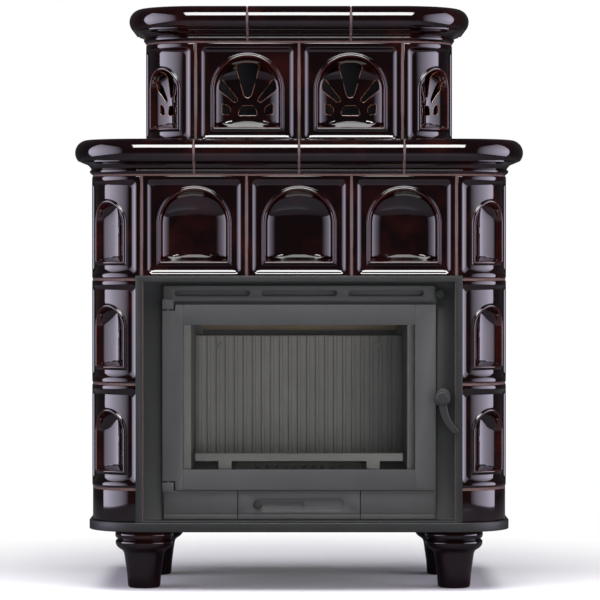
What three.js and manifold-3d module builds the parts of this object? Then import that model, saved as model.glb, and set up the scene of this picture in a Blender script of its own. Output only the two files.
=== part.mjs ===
// A tiled stove: a body of glazed relief tiles on turned feet, a set-back crown of
// pierced tiles, and a steel fireplace insert with a glazed door in its front.
// Millimetres, +Z up, the front faces -Y, and the origin is on the floor in the middle.

import * as THREE from 'three';
import { mergeVertices } from 'three/addons/utils/BufferGeometryUtils.js';
import Module from 'manifold-3d';

const wasm = await Module();
wasm.setup();

// ---------------------------------------------------------------- driving dimensions

// Clearance between pieces that rest on or fit into one another.
const fit = 0.3;

// Tiles: one square module with its mortar joint, and the round corner tiles.
const tilePitch = 220;
const joint = 3;
const cornerRadius = 110;
const bodyColumns = 3;
const bodySideColumns = 2;
const bodyRows = 3;
const crownColumns = 2;
const crownSideColumns = 1;
const crownSetback = 110;

// Relief of a tile face, as insets from the tile's edge and depths behind its crest.
const plateDepth = 12;
const collarInset = 12;
const collarWall = 10;
const tileDepth = 56;
const edgeRounding = 3;
const marginDepth = 4;
const ridgeInset = 12;
const ridgeSlope = 3.5;
const ridgeCrest = 4.5;
const fieldDepth = 5;

// The arched niche: its bead stands on the field, and the hollow is dished behind it.
const archTopInset = 29;
const archFootInset = 30;
const archSideInset = 32;
const cornerArchSideInset = 35;
const beadWidth = 9;
const beadHeight = 4;
const nicheDepth = 38;
const nicheWall = 8;

// The sunburst pierced through the crown tiles, from the tile's middle: rays as
// [x, z, radius] at the foot and at the tip, and lights as corner points.
const rays = [
  [[0, -7, 9], [0, 40, 20]],
  [[-26, -14, 8.5], [-47, 13, 13]],
  [[26, -14, 8.5], [47, 13, 13]],
];
const lights = [
  [[-52, -29], [-37, -34], [-39, -48], [-52, -44]],
  [[52, -29], [37, -34], [39, -48], [52, -44]],
  [[-18, -50], [18, -50], [19, -37], [3, -30], [-3, -30], [-19, -37]],
];

// Heights of the body.
const basePlateThickness = 20;
const basePlateOverhang = 6;
const basePlateRounding = 2;
const plinthHeight = 70;
const plinthThickness = 45;
const plinthRounding = 2;

// Cornices: a fat roll over a cove and a bead, with a flat shelf behind.
const corniceHeight = 75;
const corniceOverhang = 36;
const rollRadius = 27;
const rollStart = -0.6;
const rollEnd = 2;
const shelfDrop = 10;
const corniceSkirt = 40;
const shelfInnerRadius = 10;
const corniceShelfThickness = 15;
const corniceLeg = 110;
const corniceBead = { radius: 4, rise: 8 };
const corniceCove = [[2, 14.4], [6, 19], [13, 25], [23, 30]];
const corniceRollBack = -14;

// Turned feet: radius and height of each turn, up from the floor.
const footTurns = [
  [30, 0], [34, 4], [42, 75], [48, 82], [59, 90], [58, 101],
  [55.5, 104], [60, 108], [61, 114], [58, 122], [52, 126],
];
const footHeight = footTurns.at(-1)[1];
const frontFootSetback = 110;
const rearFootSetback = 403;
const frontFootOffset = 330;
const rearFootOffset = 318;

// Sheet-steel covers.
const sheet = 3;
const coverThickness = 8;

// Surround of the insert: a flange lapping over the tiles, a sleeve, and inner fillers.
const surroundRows = 2;
const flangeLap = 8;
const flangeSideLap = 12.5;
const flangeSide = 14.5;
const flangeTop = 13;
const flangeProud = 5;
const flangeThickness = 4;
const fillerSide = 38;
const fillerTop = 8;

// Firebox: a front plate set back behind the tile face, and a box behind it.
const frontPlateSetback = 57;
const frontPlateThickness = 5;
const frontPlateLap = 22;
const fireboxDepth = 360;
const fireboxWall = 5;
const fireboxRoof = 8;
const cavityInset = 55;
const hearthLap = 5;
const mouthLap = 4;
const ashBayInset = 4.5;
const ashBayLap = 3;
const ashBayDepth = 288;

// Linings and fittings of the firebox.
const liningThickness = 28;
const liningGap = 8;
const baffleThickness = 28;
const baffleDrop = 93;
const baffleSlope = Math.PI / 18;
const baffleLength = 255;
const railWidth = 15;
const railThickness = 10;
const backPlateThickness = 10;
const ribPitch = 20;
const ribWidth = 9;
const ribHeight = 5;
const grateInset = 12;
const grateDepth = 164;
const grateThickness = 10;
const grateLedge = 12;
const grateRim = 12;
const grateSetback = 80;
const grateBars = 10;
const grateSlotWidth = 9;
const logGuardSetback = 18;
const logGuardThickness = 8;
const logGuardEndGap = 9;
const logGuardHeight = 37;
const logGuardBar = 17;
const logGuardPost = 28;
const logGuardPostOffset = 157;

// Flue pipe: straight up from the firebox, then a bend to the back.
const flueRadius = 75;
const flueWall = 2;
const flueInset = 117;
const flueRise = 50;
const flueBend = 95;
const flueProjection = 50;

// Air slots low in the back cover.
const backSlotWidth = 90;
const backSlotHeight = 10;
const backSlotPitch = 130;
const backSlotRowPitch = 25;
const backSlotRows = 2;
const backSlotColumns = 5;
const backSlotRise = 40;

// Door with its glass and seal.
const doorGap = 2;
const doorTopGap = 8;
const doorFootGap = 1;
const doorThickness = 22;
const doorSetback = 30;
const doorStile = 44;
const doorRail = 43;
const rebate = 8;
const glassThickness = 4;
const sealWidth = 10;
const sealGap = 2;

// Hinges: fixed blocks with pins that stand in notches of the door.
const hingeBlock = 24;
const hingeBack = 6;
const hingeNotchTop = 13;
const hingeNotchBottom = 19;
const hingeGap = 3;
const hingePinRadius = 4;
const hingePinLength = 14;
const boreClearance = 0.6;

// Door handle, turning on a lug beside the stile.
const handleOffset = 300;
const handleRise = 194;
const handleHeadRadius = 17;
const handleCapRadius = 12.5;
const handleCapHeight = 4;
const handlePlate = 8;
const handleProud = 16;
const handleHubRadius = 11;
const handleShaftRadius = 5;
const handleReach = 67;
const handleSweep = 26;
const handleNeckWidth = 17;
const handleTipWidth = 13.6;
const lugThickness = 12;
const lugSetback = 6;
const lugOffset = 3;

// Panels round the door, folded like shallow pans.
const panelSetback = 38;
const panelSideGap = 4.5;
const slotPanelHeight = 32;
const slotEdge = 22.5;
const slotGap = 23;
const slotHeight = 12.6;
const slotCount = 3;
const lowerPanelHeight = 61;
const lowerPanelSill = 4;
const lipHeight = 11;
const lipGroove = 1.6;

// Ash drawer with the air slider in its front.
const drawerFrontWidth = 257;
const drawerFrontThickness = 16;
const drawerRearGap = 21;
const drawerTopGap = 7;
const drawerSideGap = 4;
const drawerWall = 2;
const panelGap = 1.6;
const recessInset = 32;
const recessHeight = 26;
const recessDepth = 4;
const recessRise = 30.5;
const sliderSlotWidth = 107;
const sliderSlotHeight = 12;
const sliderSlotDepth = 6;
const sliderKnobRadius = 8.5;
const sliderKnobHeight = 11;
const sliderFootWidth = 14;
const sliderEndGap = 3.5;

// Damper knob on a pull rod.
const damperOffset = 297;
const damperLift = 14;
const damperKnobRadius = 9.5;
const damperKnobLength = 14;
const damperKnobSetback = 30;
const damperRodRadius = 4;
const damperRodLength = 110;

// Facets of round work.
const arcSteps = 6;
const roundSteps = 4;
const rollSteps = 7;
const bendSteps = 4;
const turnedSides = 12;
const tubeSides = 8;
const knobSides = 16;

// ---------------------------------------------------------------- derived places

const flatHalf = (bodyColumns * tilePitch) / 2;
const bodyHalf = flatHalf + cornerRadius;
const bodySide = bodySideColumns * tilePitch;
const bodyDepth = cornerRadius + bodySide;
const crownFlatHalf = (crownColumns * tilePitch) / 2;
const crownSide = crownSideColumns * tilePitch;
const crownHalf = crownFlatHalf + cornerRadius;
const crownDepth = cornerRadius + crownSide;

const plateTop = footHeight + basePlateThickness;
const firstRow = plateTop + plinthHeight;
const corniceBase = firstRow + bodyRows * tilePitch;
const shelfLevel = corniceBase + corniceHeight - shelfDrop;
const crownCorniceBase = shelfLevel + tilePitch;
const crownShelfLevel = crownCorniceBase + corniceHeight - shelfDrop;

const corniceShelf = cornerRadius - shelfInnerRadius;
const tileHalf = (tilePitch - joint) / 2;
const archWidth = tilePitch - 2 * archSideInset;
const cornerArchWidth = (Math.PI / 2) * cornerRadius - 2 * cornerArchSideInset;
const ridgeWidth = 2 * ridgeSlope + ridgeCrest;

// Widths across the insert; the opening in the tiles drives them from outside inwards.
const surroundWidth = 2 * (flatHalf + flangeSideLap);
const frontOpeningWidth = surroundWidth - 2 * (flangeSide + fillerSide);
const frontPlateWidth = frontOpeningWidth + 2 * frontPlateLap;
const cavityWidth = frontPlateWidth - 2 * cavityInset;
const doorHalf = frontOpeningWidth / 2 - doorGap;
const panelHalf = frontOpeningWidth / 2 - panelSideGap;
const slotPitch = (2 * (panelHalf - slotEdge) + slotGap) / slotCount;
const slotLength = slotPitch - slotGap;
const ashBayWidth = drawerFrontWidth - 2 * ashBayInset;
const grateWidth = ashBayWidth - 2 * grateInset;
const hearthPlateHalf = ashBayWidth / 2 + grateLedge;
const recessWidth = drawerFrontWidth - 2 * recessInset;
const logGuardWidth = cavityWidth - 2 * (liningThickness + logGuardEndGap);
const hingeX = hingeBlock / 2 - doorHalf;
const sliderSlotLeft = -recessWidth / 2;

// Heights inside the insert, above the base plate.
const surroundHeight = plinthHeight + surroundRows * tilePitch + flangeLap;
const frontOpeningHeight = surroundHeight - flangeTop - fillerTop - sheet;
const fireboxHeight = frontOpeningHeight;
const slotPanelSill = sheet + frontOpeningHeight - slotPanelHeight;
const doorTop = slotPanelSill - doorTopGap;
const lowerPanelTop = lowerPanelSill + lowerPanelHeight;
const doorSill = lowerPanelTop + doorFootGap;
const hearthHeight = doorSill + doorRail - hearthLap;
const mouthTop = doorTop - doorRail + mouthLap;
const baffleLevel = fireboxHeight - fireboxRoof - baffleDrop;
const ashBayHeight = lowerPanelTop - ashBayLap - sheet;
const drawerHeight = ashBayHeight - drawerTopGap;
const upperNotch = doorTop - hingeNotchTop;
const lowerNotch = doorSill + hingeNotchBottom;
const handleZ = doorSill + handleRise;
const recessZ = lowerPanelSill + recessRise;
const damperRise = slotPanelSill + damperLift;
const flueLevel = plateTop + fit + fireboxHeight + fit + flueRise + flueBend;

// Depths behind the tile face.
const hingeY = doorSetback + hingeBack;
const flueSetback = frontPlateSetback + fireboxDepth - flueInset;
const ashBayBack = frontPlateSetback + ashBayDepth;
const drawerDepth = ashBayBack - drawerRearGap - panelSetback - drawerFrontThickness;

// The body's front tile face lies at this Y, so that the whole stove is centred.
const frontFace = (corniceOverhang - bodyDepth - flueProjection) / 2;

// ---------------------------------------------------------------- materials

function finish(color, roughness, metalness = 0) {
  return new THREE.MeshStandardMaterial({ color, roughness, metalness });
}

const glaze = finish(0x260a0c, 0.12);
const mortar = finish(0x7b5f5c, 0.9);
const blackSteel = finish(0x2f312f, 0.6, 0.4);
const doorSteel = finish(0x474847, 0.55, 0.4);
const castIron = finish(0x4b4b4d, 0.8, 0.3);
const vermiculite = finish(0xa8937a, 0.95);
const sealRope = finish(0x8b8a84, 1);
const sheetSteel = finish(0x3a3b3c, 0.6, 0.5);
const fireGlass = new THREE.MeshStandardMaterial({
  color: 0x9a9a98, roughness: 0.05, transparent: true, opacity: 0.25,
});

// ---------------------------------------------------------------- scene graph

const stove = new THREE.Group();

// Inside this group y is the depth behind the body's front tile face.
const body = new THREE.Group();
body.position.y = frontFace;
stove.add(body);

// The crown stands on the shelf, set back from the body's face.
const crown = new THREE.Group();
crown.position.set(0, crownSetback, shelfLevel);
body.add(crown);

// Inside this group z is the height above the base plate.
const insert = new THREE.Group();
insert.position.z = plateTop + fit;
body.add(insert);

function add(name, geometry, material, parent) {
  const mesh = new THREE.Mesh(geometry, material);
  mesh.name = name;
  parent.add(mesh);
  return mesh;
}

// ---------------------------------------------------------------- surfaces and solids

// A closed surface gathered from triangles, with points given as [x, y, z].
class Skin {
  constructor() {
    this.corners = [];
  }

  // Joins two rings of equal count; the first is the one further out or behind.
  band(ring, next) {
    ring.forEach((point, i) => {
      const j = (i + 1) % ring.length;
      this.corners.push(point, ring[j], next[j]);
      this.corners.push(point, next[j], next[i]);
    });
  }

  bands(rings) {
    rings.slice(1).forEach((ring, i) => this.band(rings[i], ring));
  }

  // Closes a ring with a fan to a point; facing 1 is to the front, -1 to the back.
  dome(ring, apex, facing) {
    ring.forEach((point, i) => {
      const next = ring[(i + 1) % ring.length];
      this.corners.push(...(facing > 0 ? [point, next, apex] : [next, point, apex]));
    });
  }

  // Fills between outlines that lie in one plane of constant y.
  face(outline, holes, facing) {
    const flat = (ring) => ring.map(([x, , z]) => new THREE.Vector2(x, z));
    const points = [outline, ...holes].flat();
    const faces = THREE.ShapeUtils.triangulateShape(flat(outline), holes.map(flat));
    for (const face of faces) {
      const [a, b, c] = face.map((index) => points[index]);
      const area = (b[0] - a[0]) * (c[2] - a[2]) - (c[0] - a[0]) * (b[2] - a[2]);
      this.corners.push(...(area * facing > 0 ? [a, b, c] : [a, c, b]));
    }
  }

  // The surface as a geometry, each point moved by the given rule.
  geometry(place = (point) => point) {
    const positions = this.corners.flatMap((point) => place(point));
    const geometry = new THREE.BufferGeometry();
    geometry.setAttribute('position', new THREE.Float32BufferAttribute(positions, 3));
    return geometry;
  }
}

// A closed geometry as a solid that can be joined and cut.
function solid(geometry) {
  const soup = geometry.clone();
  soup.deleteAttribute('normal');
  soup.deleteAttribute('uv');
  const shell = mergeVertices(soup, 1e-4);
  return new wasm.Manifold(new wasm.Mesh({
    numProp: 3,
    vertProperties: new Float32Array(shell.attributes.position.array),
    triVerts: new Uint32Array(shell.index.array),
  }));
}

function geometryOf(manifold) {
  const mesh = manifold.getMesh();
  const geometry = new THREE.BufferGeometry();
  geometry.setAttribute('position', new THREE.BufferAttribute(mesh.vertProperties, 3));
  geometry.setIndex(new THREE.BufferAttribute(mesh.triVerts, 1));
  return geometry;
}

function join(...pieces) {
  return geometryOf(pieces.map(solid).reduce((sum, piece) => sum.add(piece)));
}

function cut(piece, ...tools) {
  return geometryOf(tools.map(solid).reduce((rest, tool) => rest.subtract(tool), solid(piece)));
}

// A block between two corners.
function block([x0, y0, z0], [x1, y1, z1]) {
  const geometry = new THREE.BoxGeometry(x1 - x0, y1 - y0, z1 - z0);
  return geometry.translate((x0 + x1) / 2, (y0 + y1) / 2, (z0 + z1) / 2);
}

// A shape drawn in x and z, as seen from the front, and given its depth along y.
function pressed(shape, front, back) {
  const options = { depth: back - front, bevelEnabled: false };
  return new THREE.ExtrudeGeometry(shape, options).rotateX(Math.PI / 2).translate(0, back, 0);
}

// A shape drawn in y and z, as seen from the right, and given its width along x.
function sideways(shape, left, right) {
  const options = { depth: right - left, bevelEnabled: false };
  const geometry = new THREE.ExtrudeGeometry(shape, options);
  return geometry.rotateX(Math.PI / 2).rotateZ(Math.PI / 2).translate(left, 0, 0);
}

// A round bar between two depths.
function barAlongY(radius, x, z, front, back, sides = tubeSides) {
  const geometry = new THREE.CylinderGeometry(radius, radius, back - front, sides);
  return geometry.translate(x, (front + back) / 2, z);
}

// A round bar between two heights.
function barAlongZ(radius, x, y, low, high, sides = tubeSides) {
  const geometry = new THREE.CylinderGeometry(radius, radius, high - low, sides);
  return geometry.rotateX(Math.PI / 2).translate(x, y, (low + high) / 2);
}

function rectangle(left, right, low, high) {
  const shape = new THREE.Shape();
  shape.moveTo(left, low);
  shape.lineTo(right, low);
  shape.lineTo(right, high);
  shape.lineTo(left, high);
  shape.closePath();
  return shape;
}

// A slot with round ends, lying along x.
function stadium(x, z, width, height) {
  const radius = height / 2;
  const reach = width / 2 - radius;
  const quarter = Math.PI / 2;
  return polygonShape([
    ...arc(x + reach, z, radius, -quarter, quarter, roundSteps),
    ...arc(x - reach, z, radius, quarter, 3 * quarter, roundSteps),
  ]);
}

// A frame between an outer and an inner rectangle, given as [left, right, low, high].
function frameShape(outer, inner) {
  const shape = rectangle(...outer);
  shape.holes.push(rectangle(...inner));
  return shape;
}

// ---------------------------------------------------------------- tiles

// The dish of a niche, as shares of its half width inwards and of its depth.
const nicheDish = [[0, 0.12], [0.09, 0.62], [0.36, 0.94]];

// Points round a rectangle, anticlockwise from the lower left as seen from the front.
function rectanglePoints(halfWidth, halfHeight, across, up) {
  const corners = [
    [-halfWidth, -halfHeight], [halfWidth, -halfHeight],
    [halfWidth, halfHeight], [-halfWidth, halfHeight],
  ];
  const counts = [across, up, across, up];
  return corners.flatMap(([x, z], side) => {
    const [nextX, nextZ] = corners[(side + 1) % corners.length];
    return Array.from({ length: counts[side] }, (_, step) => {
      const share = step / counts[side];
      return [x + (nextX - x) * share, z + (nextZ - z) * share];
    });
  });
}

// Points round an arch in the same order: sill, right jamb, crown of the round, left jamb.
function archPoints(radius, springing, sill, sillSteps, across, up) {
  const eighth = Math.PI / 4;
  const round = (angle) => [radius * Math.cos(angle), springing + radius * Math.sin(angle)];
  const steps = (count, from, span) =>
    Array.from({ length: count }, (_, i) => round(from + (span * i) / count));
  const foot = Array.from({ length: sillSteps }, (_, i) =>
    [-radius + (2 * radius * i) / sillSteps, sill]);
  return [
    ...foot,
    [radius, sill],
    ...steps(up - 1, 0, eighth),
    ...steps(across, eighth, 2 * eighth),
    ...steps(up - 1, 3 * eighth, eighth),
    [-radius, springing],
  ];
}

// The plain back of a bent tile, as upright strips between its lower and upper edges.
function closeBack(skin, ring, across, up) {
  const high = (i) => ring[2 * across + up - i];
  const rightEdge = ring.slice(across + 1, across + up);
  const leftEdge = ring.slice(2 * across + up + 1);
  for (let i = 0; i < across; i += 1) {
    const last = i === across - 1;
    const hub = i === 0 ? ring[1] : ring[i];
    const rim = i === 0
      ? [high(1), high(0), ...leftEdge, ring[0]]
      : [ring[i + 1], ...(last ? rightEdge : []), high(i + 1), high(i)];
    rim.slice(1).forEach((point, k) => skin.corners.push(point, rim[k], hub));
  }
}

// One tile as a closed surface: the collar behind, the face plate with its raised frame,
// the field and the beaded niche. A hollow tile follows its niche on the back too.
function tileSkin({ halfWidth, openingWidth, bent, hollow, across, up }) {
  const level = (points, depth) => points.map(([x, z]) => [x, depth, z]);
  const frameSteps = bent ? [across, up] : [1, 1];
  const frameRing = (inset, depth) =>
    level(rectanglePoints(halfWidth - inset, tileHalf - inset, ...frameSteps), depth);
  const radius = openingWidth / 2;
  const springing = tilePitch / 2 - archTopInset - radius;
  const sill = archFootInset - tilePitch / 2;
  const sillSteps = bent ? across : 1;
  const archRing = (inset, depth) =>
    level(archPoints(radius - inset, springing, sill + inset, sillSteps, across, up), depth);
  const fill = (outer, inner, facing) => {
    if (!bent) skin.face(outer, [inner], facing);
    else if (facing > 0) skin.band(outer, inner);
    else skin.band(inner, outer);
  };

  const skin = new Skin();
  const room = radius - beadWidth;
  const foot = frameRing(collarInset, tileDepth);
  if (hollow) {
    const back = nicheDish.map(([share, depth]) =>
      archRing(beadWidth - nicheWall + room * share, plateDepth + nicheDepth * depth)).reverse();
    const rim = back.at(-1);
    const well = frameRing(collarInset + collarWall, rim[0][1]);
    skin.dome(back[0], [0, plateDepth + nicheDepth, springing], -1);
    skin.bands(back);
    fill(well, rim, -1);
    skin.bands([well, frameRing(collarInset + collarWall, tileDepth), foot]);
  } else if (bent) {
    closeBack(skin, foot, across, up);
  } else {
    skin.face(foot, [], -1);
  }

  const frameRings = [
    foot,
    frameRing(collarInset, plateDepth),
    frameRing(0, plateDepth),
    frameRing(0, marginDepth + edgeRounding),
    frameRing(edgeRounding, marginDepth),
    frameRing(ridgeInset, marginDepth),
    frameRing(ridgeInset + ridgeSlope, 0),
    frameRing(ridgeInset + ridgeSlope + ridgeCrest, 0),
    frameRing(ridgeInset + ridgeWidth, fieldDepth),
  ];
  const archRings = [
    archRing(0, fieldDepth),
    archRing(beadWidth / 2, fieldDepth - beadHeight),
    ...nicheDish.map(([share, depth]) => archRing(beadWidth + room * share, nicheDepth * depth)),
  ];
  skin.bands(frameRings);
  fill(frameRings.at(-1), archRings[0], 1);
  skin.bands(archRings);
  skin.dome(archRings.at(-1), [0, nicheDepth, springing], 1);
  return skin;
}

// Carries the flat surface onto a quarter round about its own vertical axis.
function bendRound([x, depth, z]) {
  const angle = x / cornerRadius;
  const radius = cornerRadius - depth;
  return [radius * Math.sin(angle), -radius * Math.cos(angle), z];
}

function flatTile({ hollow = false } = {}) {
  const spec = { halfWidth: tileHalf, openingWidth: archWidth, hollow, across: 4, up: 3 };
  return tileSkin(spec).geometry();
}

function cornerTile({ hollow = false } = {}) {
  const halfWidth = (cornerRadius * Math.PI) / 4 - joint / 2;
  const spec = { halfWidth, openingWidth: cornerArchWidth, bent: true, hollow, across: 5, up: 3 };
  return tileSkin(spec).geometry(bendRound);
}

function polygonShape(points) {
  return new THREE.Shape(points.map(([x, z]) => new THREE.Vector2(x, z)));
}

// The outline of a ray: two rounds of unlike size joined by their tangents.
function rayOutline([[footX, footZ, footRadius], [tipX, tipZ, tipRadius]]) {
  const length = Math.hypot(tipX - footX, tipZ - footZ);
  const heading = Math.atan2(tipZ - footZ, tipX - footX);
  const spread = Math.acos((footRadius - tipRadius) / length);
  const turn = 2 * Math.PI;
  return [
    ...arc(tipX, tipZ, tipRadius, heading - spread, heading + spread, roundSteps),
    ...arc(footX, footZ, footRadius, heading + spread, heading - spread + turn, roundSteps),
  ];
}

// Cuts the sunburst through a hollow tile; a narrower arch draws it in sideways.
function pierce(tile, squeeze, place) {
  const tools = [...rays.map(rayOutline), ...lights].map((outline) => {
    const points = outline.map(([x, z]) => new THREE.Vector2(x * squeeze, z));
    if (THREE.ShapeUtils.isClockWise(points)) points.reverse();
    const ring = (depth) => points.map(({ x, y }) => [x, depth, y]);
    const tool = new Skin();
    tool.face(ring(tileDepth + plateDepth), [], -1);
    tool.band(ring(tileDepth + plateDepth), ring(plateDepth));
    tool.face(ring(plateDepth), [], 1);
    return tool.geometry(place);
  });
  return cut(tile, ...tools);
}

// Tile rows on the round corners, from the plinth to the cornice.
const sides = [['left', -1], ['right', 1]];

function buildCornerTiles() {
  for (const [name, side] of sides) {
    for (let row = 0; row < bodyRows; row += 1) {
      const tile = add(`corner_tile_${name}_${row + 1}`, cornerTile(), glaze, body);
      tile.position.set(side * flatHalf, cornerRadius, firstRow + (row + 0.5) * tilePitch);
      tile.rotation.z = (side * Math.PI) / 4;
    }
  }
}

// The top row of flat tiles runs across the front above the insert.
function buildFrontTiles() {
  for (let column = 0; column < bodyColumns; column += 1) {
    const tile = add(`front_tile_${column + 1}`, flatTile(), glaze, body);
    const x = (column + 0.5) * tilePitch - flatHalf;
    tile.position.set(x, 0, firstRow + (bodyRows - 0.5) * tilePitch);
  }
}

// Each side wall: its tiles and the straight plinth strip, held together by their mortar.
function buildSideWalls() {
  const half = bodySide / 2;
  const bite = joint / 2 + fit;
  const mortarFront = marginDepth + edgeRounding;
  const pieces = [block(
    [joint / 2 - half, plinthRounding, plateTop + fit],
    [half - joint / 2, plateDepth, firstRow - joint / 2],
  )];
  for (let column = 0; column < bodySideColumns; column += 1) {
    const x = (column + 0.5) * tilePitch - half;
    for (let row = 0; row < bodyRows; row += 1) {
      const z = firstRow + (row + 0.5) * tilePitch;
      pieces.push(flatTile().translate(x, 0, z));
    }
    if (column > 0) {
      const edge = x - tilePitch / 2;
      pieces.push(block(
        [edge - bite, mortarFront, firstRow],
        [edge + bite, plateDepth, corniceBase - joint],
      ));
    }
  }
  for (let row = 0; row < bodyRows; row += 1) {
    const z = firstRow + row * tilePitch;
    pieces.push(block(
      [joint - half, mortarFront, z - bite],
      [half - joint, plateDepth, z + bite],
    ));
  }
  const wall = join(...pieces);
  for (const [name, side] of sides) {
    const mesh = add(`side_wall_${name}`, wall, glaze, body);
    mesh.position.set(side * bodyHalf, cornerRadius + half, 0);
    mesh.rotation.z = (side * Math.PI) / 2;
  }
}

function buildCrownTiles() {
  const middle = tilePitch / 2;
  const flat = pierce(flatTile({ hollow: true }), 1, (point) => point);
  const bent = pierce(cornerTile({ hollow: true }), cornerArchWidth / archWidth, bendRound);
  for (let column = 0; column < crownColumns; column += 1) {
    const tile = add(`crown_tile_${column + 1}`, flat, glaze, crown);
    tile.position.set((column + 0.5) * tilePitch - crownFlatHalf, 0, middle);
  }
  for (const [name, side] of sides) {
    const corner = add(`crown_corner_${name}`, bent, glaze, crown);
    corner.position.set(side * crownFlatHalf, cornerRadius, middle);
    corner.rotation.z = (side * Math.PI) / 4;
    for (let column = 0; column < crownSideColumns; column += 1) {
      const tile = add(`crown_side_${name}_${column + 1}`, flat, glaze, crown);
      tile.position.set(side * crownHalf, cornerRadius + (column + 0.5) * tilePitch, middle);
      tile.rotation.z = (side * Math.PI) / 2;
    }
  }
}

// ---------------------------------------------------------------- swept mouldings

function arc(x, z, radius, from, to, steps) {
  return Array.from({ length: steps + 1 }, (_, i) => {
    const angle = from + ((to - from) * i) / steps;
    return [x + radius * Math.cos(angle), z + radius * Math.sin(angle)];
  });
}

// Stations along the right front corner of a wall face, each with its outward direction.
// The outward direction lies on the right of the way along.
function rightCorner(flat, frontLeg, sideLeg) {
  const stations = Array.from({ length: arcSteps + 1 }, (_, i) => {
    const angle = (Math.PI * i) / (2 * arcSteps);
    const [nx, ny] = [Math.sin(angle), -Math.cos(angle)];
    return { x: flat + cornerRadius * nx, y: cornerRadius * (1 + ny), nx, ny };
  });
  if (frontLeg > 0) stations.unshift({ x: flat - frontLeg, y: 0, nx: 0, ny: -1 });
  if (sideLeg > 0) {
    stations.push({ x: flat + cornerRadius, y: cornerRadius + sideLeg, nx: 1, ny: 0 });
  }
  return stations;
}

function mirrored(stations) {
  return stations.map(({ x, y, nx, ny }) => ({ x: -x, y, nx: -nx, ny })).reverse();
}

function cornerPath(side, flat, frontLeg, sideLeg) {
  const path = rightCorner(flat, frontLeg, sideLeg);
  return side > 0 ? path : mirrored(path);
}

function frontPath(left, right) {
  return [{ x: left, y: 0, nx: 0, ny: -1 }, { x: right, y: 0, nx: 0, ny: -1 }];
}

function sidePath(side, half, near, far) {
  const path = [{ x: half, y: near, nx: 1, ny: 0 }, { x: half, y: far, nx: 1, ny: 0 }];
  return side > 0 ? path : mirrored(path);
}

function wrapPath(flat, sideLength) {
  const right = rightCorner(flat, 0, sideLength);
  return [...mirrored(right), ...right];
}

// Carries a profile of [outward, height] points, anticlockwise, along the stations.
function sweep(profile, stations) {
  const rings = stations.map(({ x, y, nx, ny }) =>
    profile.map(([out, z]) => [x + nx * out, y + ny * out, z]));
  const flat = profile.map(([out, z]) => new THREE.Vector2(out, z));
  const skin = new Skin();
  for (const [a, b, c] of THREE.ShapeUtils.triangulateShape(flat, [])) {
    const area = (flat[b].x - flat[a].x) * (flat[c].y - flat[a].y)
      - (flat[c].x - flat[a].x) * (flat[b].y - flat[a].y);
    const [second, third] = area > 0 ? [b, c] : [c, b];
    skin.corners.push(rings[0][a], rings[0][second], rings[0][third]);
    skin.corners.push(rings.at(-1)[a], rings.at(-1)[third], rings.at(-1)[second]);
  }
  skin.bands(rings.reverse());
  return skin.geometry();
}

// Cornice section: skirt, bead, cove, fillet, fat roll and the shelf behind it.
function corniceProfile() {
  const base = joint / 2;
  const rollX = corniceOverhang - rollRadius;
  const rollZ = corniceHeight - rollRadius;
  const shelf = corniceHeight - shelfDrop;
  const shelfBack = -corniceShelf;
  const underside = shelf - corniceShelfThickness;
  return [
    [-corniceSkirt, base],
    [0, base],
    ...arc(0, corniceBead.rise, corniceBead.radius, -Math.PI / 2, Math.PI / 2, 3),
    ...corniceCove,
    ...arc(rollX, rollZ, rollRadius, rollStart, rollEnd, rollSteps),
    [corniceRollBack, shelf],
    [shelfBack, shelf],
    [shelfBack, underside],
    [-corniceSkirt, underside],
  ];
}

// One cornice: corner pieces with a leg along each wall, and straight pieces between.
function buildCornice(prefix, flat, sideLength, parent, height) {
  const profile = corniceProfile();
  const half = joint / 2;
  const place = (name, stations) => {
    add(name, sweep(profile, stations), glaze, parent).position.z = height;
  };
  const frontLength = 2 * (flat - corniceLeg);
  const frontPieces = Math.max(1, Math.round(frontLength / tilePitch));
  const pitch = frontLength / frontPieces;
  for (let i = 0; i < frontPieces; i += 1) {
    const left = i * pitch - frontLength / 2;
    place(`${prefix}_front_${i + 1}`, frontPath(left + half, left + pitch - half));
  }
  for (const [name, side] of sides) {
    const leg = corniceLeg - half;
    place(`${prefix}_corner_${name}`, cornerPath(side, flat, leg, leg));
    const near = cornerRadius + corniceLeg + half;
    const far = cornerRadius + sideLength - half;
    place(`${prefix}_side_${name}`, sidePath(side, flat + cornerRadius, near, far));
  }
}

function buildPlinth() {
  const low = plateTop + fit;
  const high = firstRow - joint / 2;
  const round = plinthRounding;
  const profile = [
    [-plinthThickness, low], [-2 * round, low], [-round, low + round],
    [-round, high - round], [-2 * round, high], [-plinthThickness, high],
  ];
  for (const [name, side] of sides) {
    const path = rightCorner(flatHalf, 0, 0);
    const trimmed = path.slice(0, -1);
    const end = path.at(-1);
    trimmed.push({ ...end, y: end.y - joint / 2 });
    add(`plinth_corner_${name}`, sweep(profile, side > 0 ? trimmed : mirrored(trimmed)), glaze, body);
  }
}

// Mortar between the tiles: thin bars set back in the joints.
function mortarBar(stations, low, high) {
  const front = -(marginDepth + edgeRounding);
  const profile = [[-plateDepth, low], [front, low], [front, high], [-plateDepth, high]];
  return sweep(profile, stations);
}

// An upright bar in the joint at one station of the wall face.
function uprightMortar({ x, y, nx, ny }, low, high) {
  const half = joint / 2 - fit;
  const ends = [-half, half].map((shift) => ({ x: x - ny * shift, y: y + nx * shift, nx, ny }));
  return mortarBar(ends, low, high);
}

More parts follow.
